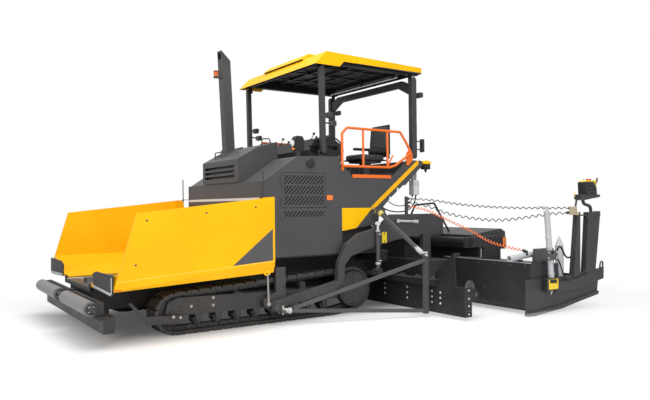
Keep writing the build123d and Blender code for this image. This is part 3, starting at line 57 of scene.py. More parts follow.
ahead = Vector((math.cos(CAMERA_PITCH) * math.cos(CAMERA_YAW), math.cos(CAMERA_PITCH) * math.sin(CAMERA_YAW),
                math.sin(CAMERA_PITCH)))
level = ahead.cross(Vector((0, 0, 1))).normalized()
upright = level.cross(ahead)
right = math.cos(CAMERA_ROLL) * level + math.sin(CAMERA_ROLL) * upright
up = math.cos(CAMERA_ROLL) * upright - math.sin(CAMERA_ROLL) * level
camera = placed("camera", bpy.data.cameras.new("camera"))
camera.matrix_world = Matrix.Translation(CAMERA_PLACE) @ Matrix((right, up, -ahead)).transposed().to_4x4()
camera.data.sensor_width = 36
camera.data.lens = 34.975
camera.data.shift_y = 0.0053
camera.data.clip_end = 200
scene.camera = camera


# Studio. The machine stands on a white floor that fades into a white backdrop, under large soft lamps.
# The floor keeps the machine's own soft shadow. Its colour is also painted dark inside the machine's footprint
# as a painted shadow, and outside the footprint it glows more for the camera, a painted light that pales the
# shadow there.
class Signal:
    """An output socket of a node tree. Arithmetic on it adds Math nodes, and node() adds any other node."""

    def __init__(self, tree, socket=None):
        self.tree = tree
        self.socket = socket

    def node(self, kind, settings=None, inputs=None, output=0):
        """Adds a node. A kind without the word Node in it is a shader node."""
        made = self.tree.nodes.new(kind if "Node" in kind else "ShaderNode" + kind)
        for name, value in (settings or {}).items():
            setattr(made, name, value)
        for name, value in (inputs or {}).items():
            if isinstance(value, Signal):
                self.tree.links.new(value.socket, made.inputs[name])
            else:
                made.inputs[name].default_value = value
        return Signal(self.tree, made.outputs[output] if made.outputs else None)

    def math(self, operation, first, second=0.0):
        return self.node("Math", {"operation": operation}, {0: first, 1: second})

    def either(self, other):
        """The larger of the two."""
        return self.math("MAXIMUM", self, other)

    def noise(self, scale, detail=2.0):
        """Cloudy noise over these coordinates."""
        return self.node("TexNoise", None, {"Vector": self, "Scale": scale, "Detail": detail})

    def bump(self, strength, distance, normal=None):
        """A normal tilted by this height, over the surface's own or over this one."""
        inputs = {"Strength": strength, "Distance": distance, "Height": self}
        return self.node("Bump", None, {**inputs, "Normal": normal} if normal else inputs)

    def __add__(self, other):
        return self.math("ADD", self, other)

    __radd__ = __add__

    def __mul__(self, other):
        return self.math("MULTIPLY", self, other)

    __rmul__ = __mul__

    def __sub__(self, other):
        return self.math("SUBTRACT", self, other)

    def __rsub__(self, other):
        return self.math("SUBTRACT", other, self)

    def __pow__(self, power):
        return self.math("POWER", self, power)

    def __gt__(self, other):
        return self.math("GREATER_THAN", self, other)

    def __lt__(self, other):
        return self.math("LESS_THAN", self, other)

    def __abs__(self):
        return self.math("ABSOLUTE", self)

    def between(self, low, high):
        """1 between the two ends, 0 outside."""
        return (self > low) * (self < high)

    def ramp(self, low, high):
        """0 below low, 1 above high."""
        return self.node("MapRange", {"interpolation_type": "SMOOTHSTEP"},
                         {"Value": self, "From Min": low, "From Max": high})

    def mix(self, under, over):
        """The colour under where this is 0, over where it is 1."""
        ends = [end if isinstance(end, Signal) else (*end, 1) for end in (under, over)]
        return self.node("Mix", {"data_type": "RGBA"}, {"Factor": self, 6: ends[0], 7: ends[1]}, 2)


def new_finish(name):
    """A material with an empty tree, its Object coordinates, and their x, y and z."""
    material = bpy.data.materials.new(name)
    material.use_nodes = True
    material.node_tree.nodes.clear()
    here = Signal(material.node_tree)
    place = here.node("TexCoord", output=3)
    x, y, z = (here.node("SeparateXYZ", None, {0: place}, axis) for axis in range(3))
    return material, here, place, x, y, z


FLOOR_PAINTED_SHADOW = (0.14, 0.14, 0.14)
FLOOR_WHITE = (0.93, 0.93, 0.93)
FLOOR_PALE = (0.95, 0.95, 0.95)
FLOOR_GLOW = 0.08
CLEAR_GLOW = 0.35
FAR_GLOW = 0.65
FOOTPRINT_X = 3.30
FOOTPRINT_Y = 1.15
material, here, place, x, y, z = new_finish("studio_floor")
outside = (abs(x) - FOOTPRINT_X).either(abs(y) - FOOTPRINT_Y)
clear = outside.ramp(-0.4, 0.7)
far = outside.ramp(0.9, 3.2)
# Painted shadow: the floor's colour turns dark grey inside the machine's footprint and pale outside it.
floor_colour = clear.mix(FLOOR_PAINTED_SHADOW, place.noise(3.0).mix(FLOOR_WHITE, FLOOR_PALE))
lit = here.node("BsdfDiffuse", None, {"Color": floor_colour})
white = here.node("Emission", None, {"Color": (1, 1, 1, 1)})
# Painted light: for the camera the floor glows a little everywhere, more outside the footprint, paling the
# shadow there, and white far away.
glow = (FLOOR_GLOW + clear * CLEAR_GLOW + far * (FAR_GLOW - FLOOR_GLOW)) * here.node("LightPath")
here.node("OutputMaterial", None, {0: here.node("MixShader", None, {0: glow, 1: lit, 2: white})})
mesh = bpy.data.meshes.new("floor")
mesh.from_pydata([(-60, -60, 0), (60, -60, 0), (60, 60, 0), (-60, 60, 0)], [], [(0, 1, 2, 3)])
mesh.materials.append(material)
placed("floor", mesh)

SKY_LIGHT = 0.44
world = bpy.data.worlds.new("studio")
scene.world = world
world.use_nodes = True
world.node_tree.nodes.clear()
sky = Signal(world.node_tree)
soft, bright = (sky.node("Background", None, {"Color": (1, 1, 1, 1), "Strength": light})
                for light in (SKY_LIGHT, 1))
camera_ray, glossy_ray, passing_ray = (sky.node("LightPath", output=ray) for ray in (0, 3, 6))
looked_at = camera_ray.either(glossy_ray).either(passing_ray)
sky.node("OutputWorld", None, {0: sky.node("MixShader", None, {0: looked_at, 1: soft, 2: bright})})

LAMPS = (
    # name, place, size, watts
    ("over", (1.0, 2.0, 9.0), 8.0, 760),
    ("side", (2.5, 11.0, 5.0), 6.0, 400),
    ("front", (11.0, 3.0, 4.0), 5.0, 220),
)
for name, spot, size, watts in LAMPS:
    lamp = placed(name, bpy.data.lights.new(name, "AREA"))
    lamp.data.size = size
    lamp.data.energy = watts
    aim = Vector((0, 0, 1.0)) - Vector(spot)
    lamp.matrix_world = Matrix.Translation(spot) @ aim.to_track_quat("-Z", "Y").to_matrix().to_4x4()

# Coiled cords and hoses. Two black control cords and an orange sensor cord run from the post on the left tow
# arm to the end gate, each a sheathed cable wound in a long spring. Plain rubber hoses hang in loops under
# the operator stand and at the left end gate, and go into their fittings at both ends.
CORD_ROUTES = {
    "cord_upper": (
        (-1.190, 1.380, 1.665), (-1.411, 1.594, 1.650), (-1.741, 1.890, 1.565), (-2.148, 2.255, 1.517),
        (-2.549, 2.615, 1.500), (-2.926, 2.950, 1.497)),
    "cord_lower": (
        (-1.190, 1.380, 1.605), (-1.370, 1.556, 1.565), (-1.560, 1.728, 1.450), (-1.741, 1.890, 1.388),
        (-1.945, 2.074, 1.342), (-2.148, 2.255, 1.320), (-2.350, 2.436, 1.338), (-2.549, 2.615, 1.378),
        (-2.749, 2.794, 1.415), (-2.900, 2.929, 1.428)),
    "cord_orange": (
        (-1.190, 1.380, 1.545), (-1.300, 1.545, 1.520), (-1.415, 1.717, 1.426), (-1.519, 1.885, 1.328),
        (-1.695, 2.163, 1.179), (-1.819, 2.361, 1.028), (-1.928, 2.546, 0.959), (-2.065, 2.790, 0.902)),
}
CORD_TURNS = {
    # cord: turn radius, pitch, wire diameter
    "cord_upper": (0.0135, 0.085, 0.013),
    "cord_lower": (0.0190, 0.098, 0.013),
    "cord_orange": (0.0170, 0.046, 0.012),
}
POINTS_A_TURN = 14
COIL_EASE = 0.05
HOSE_STEP = 0.012
HOSES = {
    # hose: body, diameter, route
    "cabinet_hose": ("tractor", 0.020, (
        (-1.540, 1.135, 1.730), (-1.540, 1.135, 1.640), (-1.430, 1.130, 1.500), (-1.230, 1.120, 1.455),
        (-1.000, 1.090, 1.480), (-0.860, 1.065, 1.560), (-0.835, 1.050, 1.646))),
    "cabinet_cable": ("tractor", 0.014, (
        (-1.480, 1.120, 1.730), (-1.480, 1.125, 1.660), (-1.390, 1.120, 1.580), (-1.220, 1.110, 1.545),
        (-1.060, 1.090, 1.590), (-1.000, 1.060, 1.660), (-0.985, 1.045, 1.750))),
    "left_clamp_hose": ("extension_left_body", 0.026, (
        (-2.425, 3.090, 0.865), (-2.470, 3.095, 0.965), (-2.560, 3.085, 0.940), (-2.640, 3.070, 0.820),
        (-2.760, 3.050, 0.765), (-2.870, 3.030, 0.790), (-2.965, 3.010, 0.860))),
    "left_foot_hose": ("extension_left_body", 0.020, (
        (-2.425, 3.070, 0.820), (-2.500, 3.080, 0.760), (-2.560, 3.080, 0.620), (-2.640, 3.070, 0.500),
        (-2.760, 3.050, 0.425), (-2.860, 3.040, 0.415))),
}


def evaluated(holder):
    """A plain mesh of an object, as its modifiers leave it."""
    return bpy.data.meshes.new_from_object(holder.evaluated_get(bpy.context.evaluated_depsgraph_get()))


def route_line(name, points):
    """The points of a smooth NURBS spline with these control points."""
    curve = bpy.data.curves.new(name, "CURVE")
    curve.dimensions = "3D"
    spline = curve.splines.new("NURBS")
    spline.points.add(len(points) - 1)
    for point, control in zip(points, spline.points):
        control.co = (*point, 1)
    spline.order_u = 3
    spline.use_endpoint_u = True
    spline.resolution_u = 24
    holder = placed(name, curve)
    found = [vertex.co.copy() for vertex in evaluated(holder).vertices]
    bpy.data.objects.remove(holder)
    return found


def walk(line, step):
    """Points a step apart along a line, with their distance from its start."""
    walked, target, found = 0.0, 0.0, []
    for start, end in zip(line, line[1:]):
        span = (end - start).length
        while target <= walked + span:
            found.append((start.lerp(end, (target - walked) / span), target))
            target += step
        walked += span
    if walked - found[-1][1] > step * 0.2:
        found.append((line[-1].copy(), walked))
    return found


def ring(centre, radius, side, other, sides):
    """Points round a circle in the plane of two directions."""
    return [centre + radius * (math.cos(math.tau * k / sides) * side + math.sin(math.tau * k / sides) * other)
            for k in range(sides)]


def ring_faces(rings, sides):
    """The faces that join these many rings, and close both ends."""
    faces = []
    for a in range(0, (rings - 1) * sides, sides):
        b = a + sides
        faces += [(a + k, a + (k + 1) % sides, b + (k + 1) % sides, b + k) for k in range(sides)]
    return faces + [tuple(range(sides))[::-1], tuple(range((rings - 1) * sides, rings * sides))]


def tube_mesh(name, path, radius, sides=8):
    """A closed round tube along these points."""
    corners = []
    side = (path[1] - path[0]).normalized().orthogonal()
    for index, point in enumerate(path):
        along = (path[min(index + 1, len(path) - 1)] - path[max(index - 1, 0)]).normalized()
        side = (side - along * side.dot(along)).normalized()
        corners += ring(point, radius, side, along.cross(side), sides)
    made = bpy.data.meshes.new(name)
    made.from_pydata(corners, [], ring_faces(len(path), sides))
    made.shade_smooth()
    return made


def add_piece(name, mesh, body, finish):
    """Puts a finished mesh in the scene, on its body, with its material."""
    piece = placed(name, mesh)
    mesh.materials.clear()
    mesh.materials.append(finish)
    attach(piece, body)
    return piece


def shaded(material, here, inputs):
    """Ends a material's tree with one Principled shader."""
    here.node("OutputMaterial", None, {0: here.node("BsdfPrincipled", None, inputs)})
    return material


def rubber_finish(name, colour, pale, rough=0.38):
    """Extruded or moulded rubber: satin, with faint streaks and chalky dust."""
    material, here, place, x, y, z = new_finish(name)
    streak = place.noise(90.0, 4.0)
    dust = place.noise(9.0).ramp(0.45, 0.75)
    return shaded(material, here, {
        "Base Color": (dust * 0.3).mix(streak.mix(colour, [c * 1.25 for c in colour]), pale),
        "Roughness": rough + streak * 0.2, "Normal": streak.bump(0.2, 0.001)})


black_sheath = rubber_finish("black_sheath", (0.006, 0.006, 0.007), (0.02, 0.02, 0.02), rough=0.7)
orange_sheath = rubber_finish("orange_sheath", (0.80, 0.17, 0.03), (0.72, 0.42, 0.24))
for name, points in CORD_ROUTES.items():
    turn_radius, pitch, wire = CORD_TURNS[name]
    line = walk(route_line(name, points), pitch / POINTS_A_TURN)
    whole = line[-1][1]
    helix = []
    side = Vector((0, 0, 1))
    for index, (point, gone) in enumerate(line):
        before, after = line[max(index - 1, 0)][0], line[min(index + 1, len(line) - 1)][0]
        along = (after - before).normalized()
        side = (side - along * side.dot(along)).normalized()
        other = along.cross(side)
        angle = math.tau * gone / pitch
        reach = turn_radius * min(1, gone / COIL_EASE, (whole - gone) / COIL_EASE)
        helix.append(point + reach * (math.cos(angle) * side + math.sin(angle) * other))
    length = sum((b - a).length for a, b in zip(helix, helix[1:]))
    orange = name == "cord_orange"
    piece = add_piece(name + "_coil", tube_mesh(name, helix, wire / 2), "screed",
                      orange_sheath if orange else black_sheath)
    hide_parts(name)
for name, (body, diameter, points) in HOSES.items():
    path = [point for point, gone in walk(route_line(name, points), HOSE_STEP)]
    length = sum((b - a).length for a, b in zip(path, path[1:]))
    piece = add_piece(name, tube_mesh(name, path, diameter / 2, 12), body, black_sheath)


# Chassis, decks and bulkhead. Welded and folded plate with a sprayed finish: slight orange peel, tone that
# drifts from plate to plate, edges paled towards bare metal, partly as wear and partly as a painted highlight,
# and road dust that settles low down and on upper faces.
BARE_METAL_AND_HIGHLIGHT = (0.62, 0.61, 0.58)
ROAD_DUST = (0.34, 0.31, 0.27)
ORANGE_PEEL = 420.0


def edge_of(here, radius):
    """A normal rounded over the edges, the flat normal, and 0 on flats up to 1 on edges."""
    rounded = here.node("Bevel", {"samples": 6}, {"Radius": radius})
    flat = here.node("NewGeometry", output=1)
    return rounded, flat, 1 - here.node("VectorMath", {"operation": "DOT_PRODUCT"}, {0: rounded, 1: flat}, 1)


def paint_finish(name, colour, marks=None, rough=0.46, coat=0.06, edge_wear_and_highlight=0.25, dusty=0.25, shine=0.28):
    """Sprayed paint. marks(here, x, y, z, flat, colour) may paint stripes and bands over the ground colour."""
    material, here, place, x, y, z = new_finish(name)
    tone = place.noise(1.7, 5.0)
    rounded, flat, edge = edge_of(here, 0.006)
    spots = place.noise(38.0, 6.0).ramp(0.35, 0.7)
    # Edges paled towards bare metal in spots: partly worn paint, partly a painted highlight along the edges.
    worn = edge.ramp(0.02, 0.22) * spots
    low = (1 - z.ramp(0.0, 1.1)) * tone.ramp(0.35, 0.75)
    upward = here.node("SeparateXYZ", None, {0: flat}, 2).ramp(0.6, 0.95)
    dust = (low * 0.8 + upward * 0.35) * (0.5 + spots * 0.5)
    ground = tone.ramp(0.3, 0.7).mix([c * 0.94 for c in colour], [c * 1.05 for c in colour])
    if marks:
        ground = marks(here, x, y, z, flat, ground)
    ground = (worn * edge_wear_and_highlight).mix(ground, BARE_METAL_AND_HIGHLIGHT)
    ground = (dust * dusty).mix(ground, ROAD_DUST)
    return shaded(material, here, {
        "Base Color": ground, "Roughness": rough + dust * 0.35 + spots * 0.06, "Coat Weight": coat * (1 - dust),
        "Coat Roughness": 0.12, "Specular IOR Level": shine,
        "Normal": place.noise(ORANGE_PEEL).bump(0.10, 0.0006, rounded)})


def dress(finish, *names):
    """Gives CAD nodes this material."""
    for name in names:
        nodes[name].data.materials.clear()
        nodes[name].data.materials.append(finish)


FRAME_GREY = (0.026, 0.026, 0.028)
frame_paint = paint_finish("frame_paint", FRAME_GREY, dusty=0.06)
dress(frame_paint, "main_frame", "fender_decks", "bulkhead", "front_beam", "engine")


# Crawler tracks. Forged chain links and rolled shoes of wear-resistant steel, run in dark and dusty, with
# eight bolts in each shoe and link plates that show along both sides of the chain.
def steel_finish(name, colour, bare, rust=(0.16, 0.09, 0.05), amount=0.3, rough=0.45):
    """Cast or rolled steel: mill scale, bare polish on worn edges, and rust or dry dust in patches."""
    material, here, place, x, y, z = new_finish(name)
    scale = place.noise(26.0, 7.0)
    fine = place.noise(160.0, 3.0)
    rounded, flat, edge = edge_of(here, 0.005)
    polish = edge.ramp(0.03, 0.25) * scale.ramp(0.3, 0.6)
    ground = fine.ramp(0.3, 0.7).mix(colour, [c * 1.5 for c in colour])
    ground = (scale.ramp(0.52, 0.7) * amount).mix(ground, rust)
    ground = (polish * 0.6).mix(ground, bare)
    return shaded(material, here, {
        "Base Color": ground, "Metallic": polish * 0.8, "Roughness": rough + scale * 0.25 - polish * 0.15,
        "Normal": fine.bump(0.35, 0.0012, rounded)})


track_steel = steel_finish("track_steel", (0.022, 0.022, 0.022), (0.36, 0.36, 0.36), rust=(0.060, 0.056, 0.052),
                           amount=0.35)
dress(track_steel, "track_left", "track_right")
TRACK_WHEELS = ((2.530, 0.262, 0.262), (-0.184, 0.358, 0.313), (0.150, 0.110, 0.110))
SHOE_COUNT = 45
SIDES = (("left", 1), ("right", -1))
CHAIN_SIDES = (1.034, 1.146)
LINK_DEPTH = 0.068
LINK_LENGTH = 0.128
BOLT_ROWS = (0.985, 1.072, 1.108, 1.195)
BOLT_STEP = 0.032
BOLT_SINK = 0.004
GROUND_RUN = 0.030


def belt(wheels, inset):
    """The lines and arcs of a belt round these wheels, at a depth under its outside."""
    runs, pieces = [], []
    for (x1, z1, r1), (x2, z2, r2) in zip(wheels, wheels[1:] + wheels[:1]):
        heading = math.atan2(z2 - z1, x2 - x1)
        normal = heading - math.acos((r1 - r2) / math.hypot(x2 - x1, z2 - z1))
        runs.append(((x1, z1), r1 - inset, (x2, z2), r2 - inset, normal))
    for (first, r1, second, r2, normal), following in zip(runs, runs[1:] + runs[:1]):
        out = Vector((math.cos(normal), math.sin(normal)))
        pieces.append(("line", Vector(first) + r1 * out, Vector(second) + r2 * out, normal))
        pieces.append(("arc", Vector(second), r2, normal, (following[4] - normal) % math.tau))
    return pieces


def belt_place(pieces, share):
    """The place and the outward angle at a share of the belt's length."""
    lengths = [(p[2] - p[1]).length if p[0] == "line" else p[2] * p[4] for p in pieces]
    left = (share % 1.0) * sum(lengths)
    for piece, length in zip(pieces, lengths):
        if left <= length:
            break
        left -= length
    if piece[0] == "line":
        return piece[1].lerp(piece[2], left / length), piece[3]
    angle = piece[3] + piece[4] * left / length
    return piece[1] + piece[2] * Vector((math.cos(angle), math.sin(angle))), angle


def new_growth(name, sizes):
    """A Geometry Nodes tree with these number inputs and a material input, and its inputs as Signals."""
    tree = bpy.data.node_groups.new(name, "GeometryNodeTree")
    tree.interface.new_socket("Geometry", in_out="OUTPUT", socket_type="NodeSocketGeometry")
    tree.interface.new_socket("Points", in_out="INPUT", socket_type="NodeSocketGeometry")
    for size in sizes:
        tree.interface.new_socket(size, in_out="INPUT", socket_type="NodeSocketFloat")
    tree.interface.new_socket("Finish", in_out="INPUT", socket_type="NodeSocketMaterial")
    start = tree.nodes.new("NodeGroupInput")
    return tree, [Signal(tree, socket) for socket in start.outputs[:len(sizes) + 2]]


def end_growth(points, shape, finish):
    """Stands the shape on every point, Z along the point's axis and X along its run, and ends the tree."""
    axis = points.node("GeometryNodeInputNamedAttribute", {"data_type": "FLOAT_VECTOR"}, {"Name": "axis"})
    run = points.node("GeometryNodeInputNamedAttribute", {"data_type": "FLOAT_VECTOR"}, {"Name": "run"})
    turn = points.node("FunctionNodeAlignRotationToVector", {"axis": "Z"}, {"Vector": axis})
    turn = points.node("FunctionNodeAlignRotationToVector", {"axis": "X", "pivot_axis": "Z"},
                       {"Rotation": turn, "Vector": run})
    stood = points.node("GeometryNodeInstanceOnPoints", None,
                        {"Points": points, "Instance": shape, "Rotation": turn})
    real = points.node("GeometryNodeRealizeInstances", None, {0: stood})
    dressed = points.node("GeometryNodeSetMaterial", None, {"Geometry": real, "Material": finish})
    points.node("NodeGroupOutput", None, {0: dressed})


def grow(name, tree, values, places, body, finish):
    """One mesh of the tree's shape at all these (point, axis, run) places, riding on a body."""
    mesh = bpy.data.meshes.new(name)
    mesh.from_pydata([point for point, axis, run in places], [], [])
    for column, attribute in ((1, "axis"), (2, "run")):
        layer = mesh.attributes.new(attribute, "FLOAT_VECTOR", "POINT")
        for item, place in zip(layer.data, places):
            item.vector = place[column]
    holder = placed(name, mesh)
    growth = holder.modifiers.new("growth", "NODES")
    growth.node_group = tree
    inputs = [item.identifier for item in tree.interface.items_tree if item.in_out == "INPUT"][1:]
    for identifier, value in zip(inputs, (*values, finish)):
        growth[identifier] = value
    grown = evaluated(holder)
    bpy.data.objects.remove(holder)
    grown.name = name
    return add_piece(name, grown, body, finish)


def side_spot(x, y, z):
    """A place for a bolt on a side wall, facing away from the middle."""
    return Vector((x, y, z)), Vector((0, math.copysign(1, y), 0)), Vector((1, 0, 0))


def front_spot(x, y, z):
    """A place for a bolt on a wall that faces forward."""
    return Vector((x, y, z)), Vector((1, 0, 0)), Vector((0, 1, 0))


def drum(points, sides, radius, depth):
    """A round or many-sided shape on the Z axis, centred."""
    return points.node("GeometryNodeMeshCylinder", None, {"Vertices": sides, "Radius": radius, "Depth": depth})


def vector(x, y=0.0, z=0.0):
    """A vector of these numbers, where x or z is a Signal."""
    tree = x if isinstance(x, Signal) else z
    return tree.node("CombineXYZ", None, {0: x, 1: y, 2: z})


def moved(shape, **inputs):
    """The shape moved or scaled by a Transform Geometry node."""
    return shape.node("GeometryNodeTransform", None, {"Geometry": shape, **inputs})


def joined(*shapes):
    """These shapes as one."""
    join = shapes[0].tree.nodes.new("GeometryNodeJoinGeometry")
    for shape in shapes[::-1]:
        join.id_data.links.new(shape.socket, join.inputs[0])
    return Signal(join.id_data, join.outputs[0])


# A bolt head: a turned washer under a hexagon with a chamfered top.
bolt_tree, (points, radius, height, finish) = new_growth("bolt_head", ("Head radius", "Head height"))
washer = moved(drum(points, 16, radius * 1.35, height * 0.3), Translation=vector(0.0, 0.0, height * 0.15))
head = moved(drum(points, 6, radius, height * 0.8), Translation=vector(0.0, 0.0, height * 0.5))
crown = points.node("GeometryNodeMeshCone", None, {"Vertices": 6, "Radius Bottom": radius,
                                                   "Radius Top": radius * 0.82, "Depth": height * 0.15})
end_growth(points, joined(washer, head, moved(crown, Translation=vector(0.0, 0.0, height * 0.9))), finish)

# A chain link plate: two round ends over a waisted bar, with the bush standing out of one of them.
link_tree, (points, length, depth, thick, finish) = new_growth("link_plate", ("Pitch", "Depth", "Thickness"))
waist = points.node("GeometryNodeMeshCube", None, {"Size": vector(length * 0.62, depth * 0.62, thick)})
round_end = drum(points, 14, depth * 0.5, thick * 1.3)
bush_end = joined(round_end, drum(points, 12, depth * 0.24, thick * 2.2))
end_growth(points, joined(waist, moved(bush_end, Translation=vector(length * 0.31)),
                          moved(round_end, Translation=vector(length * -0.31))), finish)

for name, s in SIDES:
    outside = belt(TRACK_WHEELS, 0.0)
    chain = belt(TRACK_WHEELS, LINK_DEPTH)
    shoe_bolts, links = [], []
    for shoe in range(SHOE_COUNT):
        spot, angle = belt_place(outside, (shoe + 0.5) / SHOE_COUNT)
        out = Vector((math.cos(angle), 0, math.sin(angle)))
        along = Vector((-out.z, 0, out.x))
        if spot.y > GROUND_RUN:
            shoe_bolts += [(Vector((spot.x, s * row, spot.y)) - out * BOLT_SINK + along * step, out, along)
                           for row in BOLT_ROWS for step in (-BOLT_STEP, BOLT_STEP)]
        spot, angle = belt_place(chain, (shoe + 0.5) / SHOE_COUNT)
        along = Vector((-math.sin(angle), 0, math.cos(angle)))
        links += [(Vector((spot.x, s * side, spot.y)), Vector((0, s, 0)), along) for side in CHAIN_SIDES]
    grow(f"shoe_bolts_{name}", bolt_tree, (0.011, 0.010), shoe_bolts, "tractor", track_steel)
    grow(f"chain_links_{name}", link_tree, (LINK_LENGTH, 0.050, 0.016), links, "tractor", track_steel)

# Running gear. The track frame is a box of welded plate in frame grey, with the drive's round cover at the
# rear, and its rollers, idler and guard are held by zinc-plated and blackened bolts.
DRIVE_X = -0.184
DRIVE_Z = 0.358
DRIVE_BOLT_CIRCLE = 0.205


def gear_marks(here, x, y, z, flat, ground):
    """The drive cover's split line and its rim, a little darker than the plate."""
    drive = (x - DRIVE_X) ** 2 + (z - DRIVE_Z) ** 2
    split = (abs(x - DRIVE_X - 0.02) < 0.004) * (drive < 0.062) * (abs(y) > 1.2)
    rim = drive.between(0.050, 0.054) * (abs(y) > 1.2)
    return ((split + rim) * 0.75).mix(ground, (0.008, 0.008, 0.008))


dress(paint_finish("gear_paint", (0.050, 0.050, 0.053), gear_marks, dusty=0.12), "running_gear_left",
      "running_gear_right")
zinc = steel_finish("zinc_plate", (0.40, 0.40, 0.39), (0.75, 0.74, 0.72), amount=0.1, rough=0.3)
black_oxide = steel_finish("black_oxide", (0.018, 0.018, 0.019), (0.30, 0.30, 0.30), amount=0.1)
FRAME_BOLTS = ((2.003, 0.413), (2.004, 0.317), (2.300, 0.330), (1.200, 0.300), (0.700, 0.295))
GUARD_BOLTS = ((2.559, 0.232), (2.470, 0.218))
DARK_BOLTS = ((2.207, 0.381), (2.207, 0.330), (2.456, 0.331), (2.444, 0.285), (1.720, 0.380), (1.640, 0.380),
              (0.940, 0.380), (0.860, 0.380), (0.350, 0.350), (0.350, 0.290))
FRAME_OUTER = 1.195
GUARD_OUTER = 1.270
DRIVE_OUTER = 1.262
for name, s in SIDES:
    places = [side_spot(x, s * FRAME_OUTER, z) for x, z in FRAME_BOLTS]
    places += [side_spot(x, s * GUARD_OUTER, z) for x, z in GUARD_BOLTS]
    grow(f"gear_bolts_{name}", bolt_tree, (0.014, 0.012), places, "tractor", zinc)
    places = [side_spot(x, s * FRAME_OUTER, z) for x, z in DARK_BOLTS]
    places += [side_spot(DRIVE_X + DRIVE_BOLT_CIRCLE * math.cos(a), s * DRIVE_OUTER,
                         DRIVE_Z + DRIVE_BOLT_CIRCLE * math.sin(a))
               for a in (math.radians(15 + 30 * k) for k in range(12))]
    grow(f"dark_bolts_{name}", bolt_tree, (0.010, 0.010), places, "tractor", black_oxide)


# Hopper wings. Folded steel plate in satin yellow, with a painted grey corner at the rear, an orange marker
# at the lower front corner, a bare lock rod, and small bolts for covers on the outer wall.
PAVER_YELLOW = (0.90, 0.45, 0.001)
PAVER_ORANGE = (0.82, 0.155, 0.016)
DECAL_GREY = (0.085, 0.085, 0.088)
WING_OUTER = 1.690
CORNER_SLOPE = 0.7815
FOLD_SLOPE = 0.0627


def wing_marks(here, x, y, z, flat, ground):
    """The outer wall's grey rear corner, painted highlight on its lower fold, orange front marker and bare lock
    rod.
    """
    outer = abs(y) > WING_OUTER - 0.006
    slope = z + x * CORNER_SLOPE < 1.288 + 1.398 * CORNER_SLOPE
    foot = z + x * FOLD_SLOPE > 0.883 + 1.403 * FOLD_SLOPE
    ground = (outer * slope * foot * (x > 1.400)).mix(ground, DECAL_GREY)
    # Painted highlight: a pale yellow line along the outer wall's lower fold.
    fold_highlight = abs(z + x * FOLD_SLOPE - 0.874 - 1.403 * FOLD_SLOPE) < 0.004
    ground = (outer * fold_highlight * 0.5).mix(ground, (0.98, 0.70, 0.16))
    marker = outer * (x > 3.300) * (z < 0.672)
    ground = marker.mix(ground, PAVER_ORANGE)
    lock_rod = x.between(1.428, 1.482) * abs(y).between(1.628, 1.672) * (z < 0.705)
    return lock_rod.mix(ground, (0.30, 0.30, 0.30))


dress(paint_finish("wing_paint", PAVER_YELLOW, wing_marks, edge_wear_and_highlight=0.12, dusty=0.03, coat=0.05, shine=0.14),
      "wing_left", "wing_right")
WING_BOLTS = ((1.640, 1.560), (2.300, 1.500), (3.020, 1.425), (3.150, 0.930))
for name, s in SIDES:
    places = [side_spot(x, s * WING_OUTER, z) for x, z in WING_BOLTS]
    grow(f"wing_bolts_{name}", bolt_tree, (0.009, 0.006), places, f"wing_{name}_body", black_oxide)


# Hopper flaps. Thick black rubber belting across each wing's front, clamped behind a bright steel strip along
# its outer edge and its foot with a row of bolts.
def solid_mesh(name, shapes, bevel=0.0):
    """One mesh of these (corners, faces) shapes, with its normals outwards and its sharp edges softened."""
    made = bmesh.new()
    for corners, faces in shapes:
        placed = [made.verts.new(corner) for corner in corners]
        for face in faces:
            made.faces.new([placed[index] for index in face])
    bmesh.ops.recalc_face_normals(made, faces=made.faces[:])
    if bevel:
        sharp = [edge for edge in made.edges if edge.calc_face_angle(0) > 0.7]
        bmesh.ops.bevel(made, geom=sharp, offset=bevel, segments=2, profile=0.6, affect="EDGES",
                        clamp_overlap=True)
    mesh = bpy.data.meshes.new(name)
    made.to_mesh(mesh)
    made.free()
    mesh.shade_smooth()
    mesh.set_sharp_from_angle(angle=0.65)
    return mesh


def add_solid(name, shapes, body, finish, bevel=0.0):
    """A piece made of these (corners, faces) shapes."""
    return add_piece(name, solid_mesh(name, shapes, bevel), body, finish)


def slab(outline, axis, low, high):
    """A flat plate: an outline in the plane across an axis (0, 1 or 2), from low to high along it."""
    corners = []
    for level in (low, high):
        for first, second in outline:
            corner = [first, second]
            corner.insert(axis, level)
            corners.append(tuple(corner))
    count = len(outline)
    faces = [tuple(range(count)), tuple(range(count, 2 * count))]
    faces += [(k, (k + 1) % count, count + (k + 1) % count, count + k) for k in range(count)]
    return corners, faces


def side_slab(outline, s, inner, outer):
    """A flat plate lengthways on the side s, between two distances from the middle."""
    return slab(outline, 1, *sorted((s * inner, s * outer)))


def oblong(a_low, a_high, b_low, b_high):
    """A rectangle's outline."""
    return (a_low, b_low), (a_high, b_low), (a_high, b_high), (a_low, b_high)


def crate(x_low, x_high, y_low, y_high, z_low, z_high):
    """A plain box shape."""
    return slab(oblong(x_low, x_high, y_low, y_high), 2, z_low, z_high)


def side_crate(x_low, x_high, s, inner, outer, z_low, z_high):
    """A plain box shape on the side s, between two distances from the middle."""
    return crate(x_low, x_high, *sorted((s * inner, s * outer)), z_low, z_high)


def turned(profile, start, along, sides=20):
    """A turned shape: (radius, distance) pairs from start along a direction, closed at both ends."""
    along = Vector(along).normalized()
    side = along.orthogonal().normalized()
    other = along.cross(side)
    corners = []
    for radius, distance in profile:
        corners += ring(Vector(start) + along * distance, radius, side, other, sides)
    return corners, ring_faces(len(profile), sides)


def bar(start, end, radius, sides=14):
    """A round bar with softened ends."""
    reach = Vector(end) - Vector(start)
    soft = min(radius * 0.25, reach.length * 0.2)
    profile = ((radius - soft, 0), (radius, soft), (radius, reach.length - soft), (radius - soft, reach.length))
    return turned(profile, start, reach, sides)


